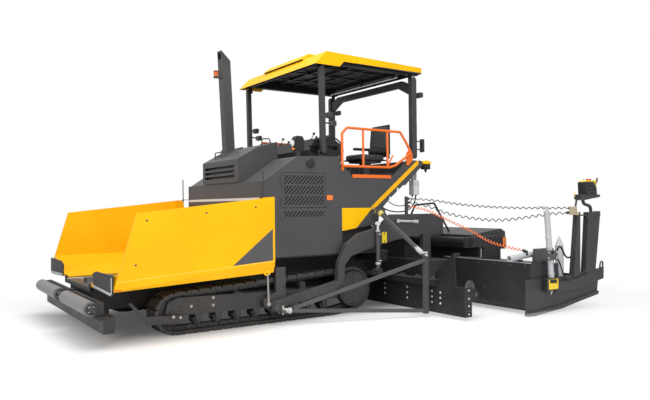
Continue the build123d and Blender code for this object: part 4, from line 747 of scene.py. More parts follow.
rubber = rubber_finish("flap_rubber", (0.016, 0.016, 0.017), (0.06, 0.06, 0.06), rough=0.6)
dress(rubber, "flap_left", "flap_right")
strip_steel = steel_finish("strip_steel", (0.42, 0.42, 0.42), (0.80, 0.79, 0.77), amount=0.12, rough=0.3)
FLAP_FACE = 3.3963
STRIP_FACE = FLAP_FACE + 0.006
for name, s in SIDES:
    foot = ((s * 0.850, 0.620), (s * 0.848, 0.650), (s * 1.585, 0.628), (s * 1.630, 0.652), (s * 1.634, 0.628),
            (s * 1.588, 0.598))
    edge = ((s * 1.606, 0.800), (s * 1.632, 0.800), (s * 1.634, 0.660), (s * 1.612, 0.648))
    strips = [slab(outline, 0, FLAP_FACE, STRIP_FACE) for outline in (foot, edge)]
    add_solid(f"flap_strips_{name}", strips, f"wing_{name}_body", strip_steel, 0.001)
    places = [front_spot(STRIP_FACE, s * (0.90 + 0.11 * k), 0.636 - 0.0025 * k) for k in range(7)]
    grow(f"flap_bolts_{name}", bolt_tree, (0.008, 0.007), places, f"wing_{name}_body", zinc)

# Conveyor and hopper floor. Wear plates and drag bars of bare steel, scratched and polished by the mix, with
# a dark apron at the front end.
CONVEYOR_FRONT = 3.27


def floor_marks(here, x, y, z, flat, ground):
    """Bare, scratched steel all along the floor, and the dark apron at its front end."""
    scratch = vector(x * 2.0, y * 60.0, z).noise(4.0, 5.0).ramp(0.35, 0.7)
    ground = (scratch * 0.5).mix(ground, (0.24, 0.235, 0.23))
    return (x > CONVEYOR_FRONT).mix(ground, (0.035, 0.034, 0.034))


dress(paint_finish("floor_steel", (0.085, 0.083, 0.080), floor_marks, dusty=0.2, rough=0.4), "conveyor")

# Push beam and rollers. The beam swings on one pin under the hopper; its two rollers are drawn steel tubes,
# polished by lorry tyres, that turn on axles bolted between cheek plates.
dress(frame_paint, "push_beam")
roller_steel = steel_finish("roller_steel", (0.12, 0.12, 0.125), (0.32, 0.32, 0.32), amount=0.15, rough=0.34)
dress(roller_steel, "push_roller_left", "push_roller_right")
ROLLER_X = 3.566
ROLLER_Z = 0.445
HUB_OUTER = 1.434
HUB_INNER = 0.141
HUB_BOLT_CIRCLE = 0.036
hubs, hub_bolts = [], []
for s in (1, -1):
    for y, out in ((HUB_OUTER, s), (HUB_INNER, -s)):
        hubs.append(turned(((0.046, 0), (0.046, 0.006), (0.034, 0.010), (0.030, 0.022), (0.026, 0.026)),
                           (ROLLER_X, s * y, ROLLER_Z), (0, out, 0)))
        centre = Vector((ROLLER_X, s * y + out * 0.008, ROLLER_Z))
        hub_bolts += [(centre + HUB_BOLT_CIRCLE * Vector((math.cos(a), 0, math.sin(a))), Vector((0, out, 0)),
                       Vector((1, 0, 0))) for a in (0.8, 2.37, 3.94, 5.5)]
add_solid("roller_hubs", hubs, "push_beam_body", black_oxide)
grow("hub_bolts", bolt_tree, (0.006, 0.005), hub_bolts, "push_beam_body", zinc)

# Side walls, lower panels and service doors. Flat sheet in body grey with a yellow stripe along the sloping
# rear edge, white and orange reflectors, and a yellow corner panel. A near-black sheet close behind the slots
# of the doors and the lower panels is painted shade for the dark space behind them, and a ribbed black cap
# closes the filler on each side.
BODY_GREY = (0.060, 0.060, 0.063)
WALL_OUTER = 1.250
PANEL_SEAM = 1.5365


def wall_marks(here, x, y, z, flat, ground):
    """The yellow stripe down the sloping rear edge, two white reflectors, and the dark seam below it."""
    outer = abs(y) > WALL_OUTER - 0.004
    across = (x + 0.544) * 0.6105 + (z - 1.535) * 0.7920
    stripe = outer * across.between(-0.050, 0.015) * (z > 1.520) * (x > -1.500)
    ground = stripe.mix(ground, PAVER_YELLOW)
    upper = x.between(-1.082, -1.048) * z.between(1.778, 1.835)
    lower = x.between(-0.925, -0.895) * z.between(1.640, 1.700)
    ground = (outer * (upper + lower)).mix(ground, (0.75, 0.75, 0.73))
    seam = outer * (abs(z - PANEL_SEAM) < 0.003)
    return (seam * 0.7).mix(ground, (0.012, 0.012, 0.013))


dress(paint_finish("wall_paint", BODY_GREY, wall_marks, dusty=0.08), "side_walls")
body_paint = paint_finish("body_paint", BODY_GREY, dusty=0.08)
dress(body_paint, "lower_panels", "grille_door_left", "grille_door_right", "platform")
yellow_paint = paint_finish("yellow_paint", (0.93, 0.50, 0.001), edge_wear_and_highlight=0.12, dusty=0.03, coat=0.05, shine=0.14)
dress(yellow_paint, "rear_panels")
# Painted shade: near-black sheets close behind the door and panel slots stand in for the dark space inside.
slot_shade_sheet = paint_finish("slot_shade_sheet", (0.003, 0.003, 0.003), rough=0.8, coat=0.0, dusty=0.0)
SHADE_SHEET_ENDS = (0.302, 0.988)
SHADE_SHEET_FACES = (1.2365, 1.2462)
for name, s in SIDES:
    door_shade_sheet = side_crate(*SHADE_SHEET_ENDS, s, *SHADE_SHEET_FACES, 1.572, 2.008)
    panel_shade_sheet = side_crate(*SHADE_SHEET_ENDS, s, *SHADE_SHEET_FACES, 1.412, 1.508)
    add_solid(f"door_shade_sheet_{name}", [door_shade_sheet], f"door_{name}_body", slot_shade_sheet)
    add_solid(f"panel_shade_sheet_{name}", [panel_shade_sheet], "tractor", slot_shade_sheet)
SMALL_BOLT = (0.009, 0.007)
WALL_BOLTS = ((1.290, 1.590), (1.290, 1.860), (1.230, 1.905), (-0.180, 1.950), (-0.080, 1.610),
              (-1.300, 2.230), (1.250, 0.960), (1.250, 1.450), (0.080, 0.960), (0.330, 1.350), (-0.150, 2.090),
              (0.075, 2.225))
for name, s in SIDES:
    places = [side_spot(x, s * WALL_OUTER, z) for x, z in WALL_BOLTS]
    grow(f"wall_bolts_{name}", bolt_tree, SMALL_BOLT, places, "tractor", body_paint)
amber = rubber_finish("amber_lens", (0.80, 0.19, 0.02), (0.88, 0.42, 0.10), rough=0.12)
reflectors = [side_slab(oblong(0.164, 0.264, 1.650, 1.720), s, WALL_OUTER, WALL_OUTER + 0.007)
              for s in (1, -1)]
add_solid("side_reflectors", reflectors, "tractor", amber, 0.002)
CAP_X = 0.544
CAP_Z = 2.171
CAP_RIBS = ((-0.036, 0.034), (-0.012, 0.050), (0.012, 0.050), (0.036, 0.034))
caps, cap_ribs = [], []
for s in (1, -1):
    caps.append(turned(((0.070, 0), (0.070, 0.008), (0.062, 0.016), (0.030, 0.020), (0.012, 0.020)),
                       (CAP_X, s * 1.262, CAP_Z), (0, s, 0), 28))
    cap_ribs += [side_crate(CAP_X + x - 0.006, CAP_X + x + 0.006, s, 1.276, 1.287, CAP_Z - high, CAP_Z + high)
                 for x, high in CAP_RIBS]
lamp_black = paint_finish("lamp_black", (0.012, 0.012, 0.013), dusty=0.1, rough=0.4)
add_solid("filler_caps", caps + cap_ribs, "tractor", lamp_black)


# Hood, intake box and exhaust stack. Folded sheet in body grey; the intake slots are painted near-black inside
# as painted shade, the stack's mouth is sooted under a slanted lid, and the beacon on the stack has an amber
# lens in a wire cage.
def hood_marks(here, x, y, z, flat, ground):
    """The white sealing strip where the hood's front meets the wings."""
    return (x.between(1.326, 1.340) * z.between(1.655, 1.690)).mix(ground, (0.72, 0.72, 0.72))


dress(paint_finish("hood_paint", BODY_GREY, hood_marks, dusty=0.10), "hood")


def box_slot_shade(here, x, y, z, flat, ground):
    """Painted shade: near-black inside the three intake slots, where shadow falls."""
    inside = x.between(1.295, 1.3475) * (abs(y) < 0.54)
    row = z.between(1.985, 2.028) + z.between(2.055, 2.098) + z.between(2.125, 2.168)
    return (inside * row).mix(ground, (0.006, 0.006, 0.006))


dress(paint_finish("intake_paint", BODY_GREY, box_slot_shade, dusty=0.10), "air_box")

STACK_X = 1.123
STACK_Y = -0.300


def stack_marks(here, x, y, z, flat, ground):
    """Soot round the mouth, and the amber lens of the beacon on its bracket."""
    inner = (abs(x - STACK_X) < 0.062) * (abs(y - STACK_Y) < 0.0675) * (z > 3.80)
    soot = (z.ramp(3.70, 3.99) * 0.5).either(inner)
    ground = soot.mix(ground, (0.012, 0.011, 0.010))
    beacon = (x > 1.215) * (z > 3.585)
    return beacon.mix(ground, (0.85, 0.16, 0.02))


dress(paint_finish("stack_paint", (0.050, 0.050, 0.052), stack_marks, dusty=0.05), "exhaust_stack")
lid = slab(((1.0525, 3.8455), (1.1935, 3.9805), (1.1935, 3.9725), (1.0525, 3.8375)), 1, STACK_Y - 0.071,
           STACK_Y + 0.071)
add_solid("stack_lid", [lid], "tractor", body_paint, 0.001)
BOX_FRONT = 1.350
HOOD_FRONT = 1.330
places = [front_spot(BOX_FRONT, y, z) for y in (-0.580, 0.580) for z in (1.950, 2.215)]
places += [front_spot(HOOD_FRONT, s * y, z) for s in (1, -1) for y in (1.19, 0.72) for z in (1.740, 1.880)]
grow("hood_bolts", bolt_tree, SMALL_BOLT, places, "tractor", black_oxide)
BEACON = Vector((1.250, STACK_Y, 3.570))
CAGE_RADIUS = 0.036
CAGE_HEIGHT = 0.098
cage = []
for k in range(6):
    a = math.radians(60 * k + 10)
    wire_foot = BEACON + CAGE_RADIUS * Vector((math.cos(a), math.sin(a), 0))
    cage.append(bar(wire_foot, wire_foot + Vector((0, 0, CAGE_HEIGHT)), 0.003, 6))
cage.append(turned(((0.040, 0), (0.040, 0.006), (0.030, 0.008)), BEACON + Vector((0, 0, 0.092)), (0, 0, 1)))
add_solid("beacon_cage", cage, "tractor", lamp_black)


# Head lamps. Moulded black housings, each with a clear ribbed lens in a bright rim over an amber direction
# lamp. They face forward, one on each side.
LENS_RIBS = 220.0
LAMP_Y = 1.167
LAMP_Z = 2.445


def lens_finish(name, colour):
    """Pressed lens over a bright reflector: fine vertical ribs, clear and glossy."""
    material, here, place, x, y, z = new_finish(name)
    rib = here.math("SINE", y * LENS_RIBS)
    cloud = place.noise(30.0)
    return shaded(material, here, {
        "Base Color": (cloud * 0.5 + rib * 0.15).mix(colour, [c * 0.75 for c in colour]),
        "Roughness": 0.08 + cloud * 0.06, "Coat Weight": 0.6, "Normal": rib.bump(0.3, 0.001)})


dress(lamp_black, "head_lamps")
clear_lens = lens_finish("clear_lens", (0.80, 0.82, 0.84))
LENS = ((0.040, 0), (0.037, 0.006), (0.026, 0.011), (0.010, 0.013))
RIM = ((0.047, 0.0), (0.047, 0.004), (0.042, 0.006), (0.040, 0.002))
lenses, rims, blinkers = [], [], []
for s in (1, -1):
    lenses.append(turned(LENS, (0.778, s * LAMP_Y, LAMP_Z), (1, 0, 0), 24))
    rims.append(turned(RIM, (0.776, s * LAMP_Y, LAMP_Z), (1, 0, 0), 24))
    blinkers.append(slab(oblong(s * 1.140, s * 1.195, 2.352, 2.385), 0, 0.757, 0.776))
add_solid("head_lamp_lenses", lenses, "tractor", clear_lens)
add_solid("head_lamp_rims", rims, "tractor", strip_steel)
add_solid("direction_lamps", blinkers, "tractor", amber, 0.003)

# Operator's console. Black moulded cover with a steering wheel and a sloping grey lid at each station, and
# levers with round knobs that come out of rubber boots.
dress(lamp_black, "dashboard")
LEVER_PLACES = ((-0.060, 0.42), (-0.100, 0.52), (0.020, 0.47))
LEVER_LEAN = Vector((-0.45, 0, 0.89))
LEVER_LENGTH = 0.115
COVER_SLOPE = 0.613
BOOT = ((0.034, -0.01), (0.028, 0.008), (0.030, 0.014), (0.020, 0.024), (0.022, 0.030), (0.010, 0.040))
KNOB = ((0.006, -0.008), (0.017, 0.0), (0.021, 0.012), (0.018, 0.026), (0.007, 0.033))
LID_SIDE = ((0.320, 2.548), (0.020, 2.606), (0.020, 2.583), (0.320, 2.525))
levers, boots, lids, knobs = [], [], [], []
for s in (1, -1):
    for x, y in LEVER_PLACES:
        foot = Vector((x, s * y, 2.588 + (x - 0.035) * COVER_SLOPE))
        tip = foot + LEVER_LEAN * LEVER_LENGTH
        boots.append(turned(BOOT, foot, LEVER_LEAN, 16))
        levers.append(bar(foot, tip, 0.006, 8))
        knobs.append(turned(KNOB, tip, LEVER_LEAN, 16))
    lids.append(side_slab(LID_SIDE, s, 0.60, 0.98))
add_solid("lever_boots", boots, "tractor", rubber)
add_solid("levers", levers, "tractor", black_oxide)
add_solid("lever_knobs", knobs, "tractor", black_sheath)
add_solid("console_hoods", lids, "tractor", body_paint, 0.004)

# Platform and rails. Bent tube rails in orange enamel round each side of the stand, and a floor of tread
# plate with rolled-in studs that lean to the left and right in turn.
rail_paint = paint_finish("rail_paint", PAVER_ORANGE, edge_wear_and_highlight=0.1, dusty=0.03, coat=0.15, rough=0.38)
dress(rail_paint, "rails")
stud_tree, (points, length, width, height, finish) = new_growth("tread_stud", ("Length", "Width", "Height"))
stud = points.node("GeometryNodeMeshUVSphere", None, {"Segments": 8, "Rings": 4, "Radius": 1.0})
end_growth(points, moved(stud, Scale=vector(length, width, height)), finish)
TREAD_ROWS = 44
TREAD_COLUMNS = 15
TREAD_START = Vector((-1.110, -1.180, 1.900))
TREAD_PITCH = (0.068, 0.055)
places = []
for row in range(TREAD_ROWS):
    for column in range(TREAD_COLUMNS):
        lean = 1 if (row + column) % 2 else -1
        spot = TREAD_START + Vector((TREAD_PITCH[0] * column, TREAD_PITCH[1] * row, 0))
        places.append((spot, Vector((0, 0, 1)), Vector((1, lean, 0)).normalized()))
grow("platform_tread", stud_tree, (0.017, 0.005, 0.0025), places, "tractor", body_paint)

# Marker rods. A thin steel rod at each front corner of the hood shows the driver where the side is. It stands
# through a folded bracket and is held by a collar.
ROD_X = 1.370
ROD_Y = 1.390
rods = []
for s in (1, -1):
    rods += [bar((ROD_X, s * ROD_Y, 1.560), (ROD_X, s * ROD_Y, 2.030), 0.008, 10),
             side_crate(1.290, 1.385, s, 1.240, 1.402, 1.690, 1.698),
             turned(((0.012, 0), (0.016, 0.004), (0.016, 0.016), (0.012, 0.020)), (ROD_X, s * ROD_Y, 1.682),
                    (0, 0, 1), 12)]
add_solid("marker_rods", rods, "tractor", black_oxide)

# Junction heads. A black moulded socket head with a yellow cover at each rear corner of the stand, on a flat
# bracket, with its cable gland pointing down.
HEAD_COVER = ((-1.735, 2.220), (-1.592, 2.220), (-1.600, 2.262), (-1.640, 2.276), (-1.728, 2.262))
heads, covers = [], []
for s in (1, -1):
    heads += [side_crate(-1.725, -1.600, s, 1.195, 1.285, 2.135, 2.222),
              side_crate(-1.610, -1.470, s, 1.232, 1.244, 2.150, 2.200),
              turned(((0.018, 0), (0.022, 0.004), (0.022, 0.024), (0.015, 0.030), (0.011, 0.050)),
                     (-1.662, s * 1.240, 2.136), (0, 0, -1), 14)]
    covers.append(side_slab(HEAD_COVER, s, 1.188, 1.292))
add_solid("junction_heads", heads, "tractor", lamp_black, 0.004)
add_solid("junction_covers", covers, "tractor", yellow_paint, 0.005)

# Operator seats. A foam cushion and back on each pedestal, in black woven cloth sewn in wide channels, with a
# moulded shell under the cushion and behind the back, and padded armrests on moulded brackets.
SEAT_Y = 0.785
SEAT_PADS = {
    # pad: corner places (x, z) of its side view, half width, and the way across its sewn channels
    "cushion": (((-1.030, 2.284), (-0.550, 2.284), (-0.545, 2.356), (-1.020, 2.348)), 0.212, (1, 0)),
    "back": (((-1.078, 2.395), (-1.022, 2.395), (-1.072, 2.828), (-1.118, 2.828)), 0.212, (0, 1)),
}
PAD_SWELL = 0.010
CHANNEL_PITCH = 0.105
CHANNEL_DEPTH = 0.006
SEAM_WIDTH = 0.007
THREAD_TURNS = 1500.0
SHELL_HALF = 0.222
ARM_REACH = 0.250
ARM_HALF = 0.027
BACK_SHELL = ((-1.130, 2.380), (-1.086, 2.330), (-1.078, 2.400), (-1.119, 2.845), (-1.128, 2.848))
SEAT_SHELL = ((-1.055, 2.266), (-0.545, 2.266), (-0.530, 2.286), (-1.055, 2.286))
ARM_PAD = ((-1.085, 2.458), (-0.765, 2.458), (-0.755, 2.480), (-0.770, 2.500), (-1.085, 2.500))
ARM_BRACKET = ((-1.110, 2.300), (-1.060, 2.300), (-1.040, 2.460), (-1.085, 2.460))


def pad_shape(corners, y_low, y_high):
    """A block with these side corners, its edges rounded, ready to be stuffed."""
    shell = bmesh.new()
    near = [shell.verts.new((x, y_low, z)) for x, z in corners]
    away = [shell.verts.new((x, y_high, z)) for x, z in corners]
    shell.faces.new(near[::-1])
    shell.faces.new(away)
    for k in range(4):
        shell.faces.new((near[k], near[(k + 1) % 4], away[(k + 1) % 4], away[k]))
    bmesh.ops.bevel(shell, geom=shell.edges[:], offset=0.018, segments=3, profile=0.7, affect="EDGES")
    bmesh.ops.recalc_face_normals(shell, faces=shell.faces[:])
    return shell


def stuffed(name, shells, across):
    """Pads blown up by cloth pressure, each point held near its start, then sewn in channels."""
    mesh = bpy.data.meshes.new(name)
    whole = bmesh.new()
    for shell in shells:
        shell.to_mesh(mesh)
        whole.from_mesh(mesh)
        shell.free()
    whole.to_mesh(mesh)
    whole.free()
    pad = placed(name, mesh)
    remesh = pad.modifiers.new("remesh", "REMESH")
    remesh.mode = "VOXEL"
    remesh.voxel_size = 0.016
    full = evaluated(pad)
    pad.modifiers.clear()
    pad.data = full
    cloth = pad.modifiers.new("cloth", "CLOTH")
    cloth.settings.quality = 3
    cloth.settings.use_pressure = True
    cloth.settings.uniform_pressure_force = 4
    cloth.settings.effector_weights.gravity = 0
    start = [vertex.co.copy() for vertex in full.vertices]
    for step in range(1, 11):
        scene.frame_set(step)
    blown = evaluated(pad)
    pad.modifiers.clear()
    for vertex, before in zip(blown.vertices, start):
        move = vertex.co - before
        vertex.co = before + move.normalized() * min(move.length, PAD_SWELL)
    pad.data = blown
    scene.frame_set(1)
    finer = pad.modifiers.new("finer", "SUBSURF")
    finer.levels = finer.render_levels = 1
    smooth = evaluated(pad)
    for vertex in smooth.vertices:
        along = vertex.co.x * across[0] + vertex.co.z * across[1]
        seam = (along / CHANNEL_PITCH + 0.5) % 1.0 - 0.5
        vertex.co -= vertex.normal * CHANNEL_DEPTH * math.exp(-(seam * CHANNEL_PITCH / SEAM_WIDTH) ** 2)
    smooth.shade_smooth()
    bpy.data.objects.remove(pad)
    return smooth


def cloth_finish(name, colour, thread):
    """Woven upholstery: crossed threads a few millimetres apart, matt with a slight sheen."""
    material, here, place, x, y, z = new_finish(name)
    weave = here.math("SINE", (x + z) * THREAD_TURNS) * here.math("SINE", y * THREAD_TURNS)
    fuzz = place.noise(12.0, 6.0)
    return shaded(material, here, {
        "Base Color": (weave * 0.25 + fuzz * 0.5).mix(colour, thread), "Roughness": 0.75 + fuzz * 0.15,
        "Sheen Weight": 0.25, "Normal": weave.bump(0.4, 0.0008)})


seat_cloth = cloth_finish("seat_cloth", (0.022, 0.022, 0.024), (0.060, 0.060, 0.064))
for pad_name, (corners, half, across) in SEAT_PADS.items():
    shells = [pad_shape(corners, s * SEAT_Y - half, s * SEAT_Y + half) for s in (1, -1)]
    piece = add_piece(f"seat_{pad_name}s", stuffed(f"seat_{pad_name}s", shells, across), "tractor", seat_cloth)
    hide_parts("seats")
shells, arm_pads, arm_bars = [], [], []
for s in (1, -1):
    y = s * SEAT_Y
    shells += [slab(outline, 1, y - SHELL_HALF, y + SHELL_HALF) for outline in (BACK_SHELL, SEAT_SHELL)]
    for t in (1, -1):
        arm = y + t * ARM_REACH
        arm_pads.append(slab(ARM_PAD, 1, arm - ARM_HALF, arm + ARM_HALF))
        arm_bars.append(slab(ARM_BRACKET, 1, *sorted((arm - t * 0.024, arm - t * 0.014))))
add_solid("seat_shells", shells, "tractor", lamp_black, 0.006)
add_solid("arm_pads", arm_pads, "tractor", rubber, 0.010)
add_solid("arm_brackets", arm_bars, "tractor", lamp_black, 0.003)
dress(body_paint, "seat_pedestals")


# Roof and posts. A moulded shell in satin yellow with a grey strip low along its rear, dark underneath, on
# slim dark posts held by large bolts. Ribs stiffen it, a light tube hangs under it, and the front posts carry
# the work lamps.
def roof_marks(here, x, y, z, flat, ground):
    """Near-black underneath and inside, with a grey strip low along the rear."""
    facing = here.node("SeparateXYZ", None, {0: flat}, 2)
    within = (abs(y) < 1.1788) * (z < 3.776) * x.between(-1.602, 0.375)
    dark = (facing < -0.3).either(within * (facing < 0.4))
    rear_line = (x < -0.30) * (z < 3.682)
    ground = (rear_line * (facing < 0.5)).mix(ground, (0.060, 0.060, 0.062))
    return dark.mix(ground, (0.010, 0.010, 0.011))


dress(paint_finish("roof_paint", PAVER_YELLOW, roof_marks, edge_wear_and_highlight=0.08, dusty=0.03, shine=0.14), "roof")
post_paint = paint_finish("post_paint", (0.040, 0.040, 0.042), dusty=0.05)
dress(post_paint, "rear_posts", "front_posts")
RIB_WIDTH = 0.030
LIGHT_X = -1.398
LIGHT_Z = 3.642
WORK_LAMP_Y = 1.130
WORK_LAMPS = ((0.128, 2.890), (0.068, 2.768))
POST_BOLT_HEIGHTS = (2.356, 3.560)
ribs = [crate(x, x + RIB_WIDTH, -1.170, 1.170, 3.724, 3.760) for x in (-1.20, -0.90, -0.60, -0.30)]
ribs += [crate(-1.560, 0.160, y - RIB_WIDTH / 2, y + RIB_WIDTH / 2, 3.716, 3.745) for y in (-0.55, 0.0, 0.55)]
ribs.append(slab(((0.330, 3.592), (0.352, 3.592), (0.230, 3.735), (0.208, 3.735)), 1, -1.060, 1.060))
add_solid("roof_ribs", ribs, "roof_body", lamp_black, 0.003)
light_tube = bar((LIGHT_X, -1.000, LIGHT_Z), (LIGHT_X, 0.880, LIGHT_Z), 0.013)
add_solid("roof_light", [light_tube], "roof_body", clear_lens)
clips = [crate(LIGHT_X - 0.016, LIGHT_X + 0.016, y - 0.02, y + 0.02, 3.640, 3.730)
         for y in (-0.90, -0.06, 0.78)]
add_solid("roof_light_clips", clips, "roof_body", lamp_black, 0.002)
top_ribs = [slab(((-1.560, 3.763), (-0.140, 3.793), (-0.140, 3.797), (-1.560, 3.767)), 1, y - 0.012, y + 0.012)
            for y in (-1.04, -0.84, 0.84, 1.04)]
add_solid("roof_ribs_top", top_ribs, "roof_body", yellow_paint, 0.002)
work_lenses = [slab(oblong(y - 0.044, y + 0.044, z - 0.032, z + 0.032), 0, x + 0.036, x + 0.041)
               for y in (WORK_LAMP_Y, -WORK_LAMP_Y) for x, z in WORK_LAMPS]
add_solid("front_work_lenses", work_lenses, "front_posts_body", lens_finish("work_lens", (0.10, 0.10, 0.11)),
          0.002)
post_bolts = [side_spot(-1.500, y, z) for y in (1.170, -1.170) for z in POST_BOLT_HEIGHTS]
grow("rear_post_bolts", bolt_tree, (0.018, 0.012), post_bolts, "rear_posts_body", black_oxide)
post_bolts = [side_spot(0.250, y, z) for y in (1.163, -1.163) for z in POST_BOLT_HEIGHTS]
grow("front_post_bolts", bolt_tree, (0.016, 0.012), post_bolts, "front_posts_body", black_oxide)


# Rear cabinets. White powder-coated switch boxes hung under the stand, each with a hinged lid, two locks and
# two cable glands in its floor.
def cabinet_marks(here, x, y, z, flat, ground):
    """The lid's joint line."""
    line = (abs(z - 1.925) < 0.002) + (abs(x + 1.555) < 0.0015) * z.between(1.735, 1.925)
    return (line * 0.8).mix(ground, (0.12, 0.12, 0.12))


dress(paint_finish("cabinet_paint", (0.62, 0.62, 0.61), cabinet_marks, edge_wear_and_highlight=0.1, dusty=0.08, rough=0.4),
      "rear_cabinets")
locks = [turned(((0.009, 0), (0.009, 0.004), (0.004, 0.006)), (x, s * 1.190, 1.900), (0, s, 0), 12)
         for s in (1, -1) for x in (-1.535, -1.475)]
add_solid("cabinet_locks", locks, "tractor", lamp_black)
glands = [turned(((0.016, 0), (0.016, 0.014), (0.012, 0.022)), (x, s * y, 1.729), (0, 0, -1), 12)
          for s in (1, -1) for x, y in ((-1.540, 1.135), (-1.480, 1.120))]
add_solid("cabinet_glands", glands, "tractor", lamp_black)

# Auger tunnel plates, augers and braces. Thick plate in plate black with rows of bright bolts, hard-faced
# auger flights polished by the mix, and braces of painted tube with zinc forks, bright pins and yellow-zinc
# sleeves.
PLATE_BLACK = (0.014, 0.013, 0.016)
plate_paint = paint_finish("plate_paint", PLATE_BLACK, dusty=0.12)
dress(plate_paint, "tunnel_plates")
auger_steel = steel_finish("auger_steel", (0.075, 0.072, 0.070), (0.45, 0.44, 0.42), rust=(0.14, 0.08, 0.05),
                           amount=0.35)
dress(auger_steel, "auger_left", "auger_right")
brace_paint = paint_finish("brace_paint", (0.072, 0.072, 0.075), dusty=0.10)
dress(brace_paint, "tunnel_braces")
TUNNEL_FRONT = -0.940
CHANNEL_OUTER = 2.740
TUNNEL_BOLTS = ((1.069, (0.361, 0.286, 0.210)), (1.586, (0.352, 0.272, 0.191)), (2.109, (0.346, 0.268, 0.190)),
                (2.274, (0.339, 0.264, 0.188)))
for name, s in SIDES:
    places = [front_spot(TUNNEL_FRONT, s * y, z) for y, heights in TUNNEL_BOLTS for z in heights]
    grow(f"tunnel_bolts_{name}", bolt_tree, (0.013, 0.012), places, "tractor", zinc)
    places = [side_spot(-1.010, s * CHANNEL_OUTER, z) for z in (0.410, 0.300, 0.200, 0.090)]
    grow(f"channel_bolts_{name}", bolt_tree, (0.011, 0.010), places, "tractor", zinc)
UPPER_FORK = ((0.030, 0.060), (0.036, 0.066), (0.036, 0.150), (0.030, 0.158), (0.026, 0.190))
LOWER_FORK = ((0.026, -0.060), (0.032, -0.050), (0.032, 0.015), (0.040, 0.020), (0.040, 0.060), (0.034, 0.066))
TOP_SLEEVE = ((0.036, 0.020), (0.042, 0.026), (0.042, 0.070), (0.036, 0.076))
TOP_BUSH = ((0.030, -0.052), (0.030, 0.012), (0.022, 0.018))
forks, pins, sleeves = [], [], []
for s in (1, -1):
    top = Vector((-0.518, s * 1.450, 1.480))
    head = Vector((-0.795, s * 2.125, 0.850))
    toward = (top - head).normalized()
    foot = Vector((1.080, s * 1.475, 0.190))
    back = (Vector((-0.770, s * 2.125, 0.085)) - foot).normalized()
    forks += [turned(UPPER_FORK, head, toward, 12), turned(LOWER_FORK, foot, back, 12)]
    pin_foot = foot - back * 0.045 + Vector((0, -s * 0.010, 0))
    pins += [bar(head + Vector((0, -s * 0.045, 0.012)), head + Vector((0, s * 0.055, 0.012)), 0.016, 12),
             bar(head + Vector((-0.05, 0, 0.045)), head + Vector((0.06, 0, 0.045)), 0.014, 12),
             bar(pin_foot - Vector((0, 0, 0.055)), pin_foot + Vector((0, 0, 0.060)), 0.014, 12)]
    sleeves += [turned(TOP_SLEEVE, top, -toward, 12),
                turned(TOP_BUSH, (-0.520, s * 1.455, 1.480), (0, s, 0), 12)]
add_solid("brace_forks", forks, "tractor", zinc)
add_solid("brace_pins", pins, "tractor", strip_steel)
yellow_zinc = steel_finish("yellow_zinc", (0.50, 0.40, 0.08), (0.80, 0.70, 0.30), amount=0.1, rough=0.35)
add_solid("brace_sleeves", sleeves, "tractor", yellow_zinc)


# Tow arms and lift cylinders. Cranked arms cut from plate and boxed, in frame grey, with a bare yellow plate,
# a chromed float cylinder along the top, and double-acting lift cylinders whose rods are hard chromed.
def arm_marks(here, x, y, z, flat, ground):
    """The bare yellow plate and the float cylinder's chromed barrel on the outer face."""
    outer = abs(y) > 1.396
    plate = outer * x.between(-0.712, -0.620) * z.between(1.008, 1.170)
    ground = plate.mix(ground, (0.90, 0.66, 0.02))
    cylinder = (abs(y) > 1.4005) * x.between(-1.318, -0.880) * (z > 1.27)
    return cylinder.mix(ground, (0.50, 0.50, 0.51))


dress(paint_finish("arm_paint", (0.056, 0.056, 0.059), arm_marks, dusty=0.16), "tow_arms")
dress(paint_finish("post_grey", (0.056, 0.056, 0.059), dusty=0.16), "tow_posts")
chrome = steel_finish("hard_chrome", (0.55, 0.55, 0.56), (0.88, 0.88, 0.88), amount=0.03, rough=0.16)
dress(chrome, "lift_rod_left", "lift_rod_right")
dress(brace_paint, "lift_barrel_left", "lift_barrel_right")
LIFT_X = -0.500
LIFT_Y = 1.450
GLAND = ((0.018, 1.180), (0.034, 1.182), (0.036, 1.200), (0.024, 1.206), (0.018, 1.206))
LOWER_COLLAR = ((0.034, 0.700), (0.040, 0.704), (0.040, 0.730), (0.034, 0.734))
OIL_PORTS = (1.145, 0.760)
ARM_OUTER = 1.400
ARM_BOLTS = ((-0.666, 1.150), (-0.666, 1.030), (-1.560, 1.180), (-1.560, 1.340), (-1.800, 1.180),
             (-1.800, 1.340), (-0.480, 1.230), (0.150, 0.460), (1.100, 0.290))
TOW_POST_OUTER = 1.312
for name, s in SIDES:
    gland = [turned(profile, (LIFT_X, s * LIFT_Y, 0), (0, 0, 1), 20) for profile in (GLAND, LOWER_COLLAR)]
    gland += [bar((LIFT_X, s * 1.478, z), (LIFT_X, s * 1.520, z), 0.010, 10) for z in OIL_PORTS]
    add_solid(f"rod_gland_{name}", gland, f"lift_barrel_{name}_body", zinc)
    places = [side_spot(x, s * ARM_OUTER, z) for x, z in ARM_BOLTS]
    grow(f"arm_bolts_{name}", bolt_tree, (0.010, 0.008), places, "screed", black_oxide)
    places = [side_spot(x, s * TOW_POST_OUTER, z) for x in (1.030, 1.110) for z in (0.700, 0.480)]
    grow(f"tow_post_bolts_{name}", bolt_tree, (0.012, 0.010), places, "tractor", black_oxide)


# Screed. Heated plate bodies in plate black: the main screed with its guide block and rear hood, and the
# sliding extensions on their black guide tubes, with a bright power tube in its bracket and a painted
# highlight along the upper edge.
def screed_marks(here, x, y, z, flat, ground):
    """Wear low on the front wall."""
    front = (x > -1.545) * (1 - z.ramp(0.10, 0.42))
    return (front * 0.5).mix(ground, (0.11, 0.105, 0.10))


dress(paint_finish("screed_paint", (0.042, 0.041, 0.044), screed_marks, dusty=0.12), "screed_body")


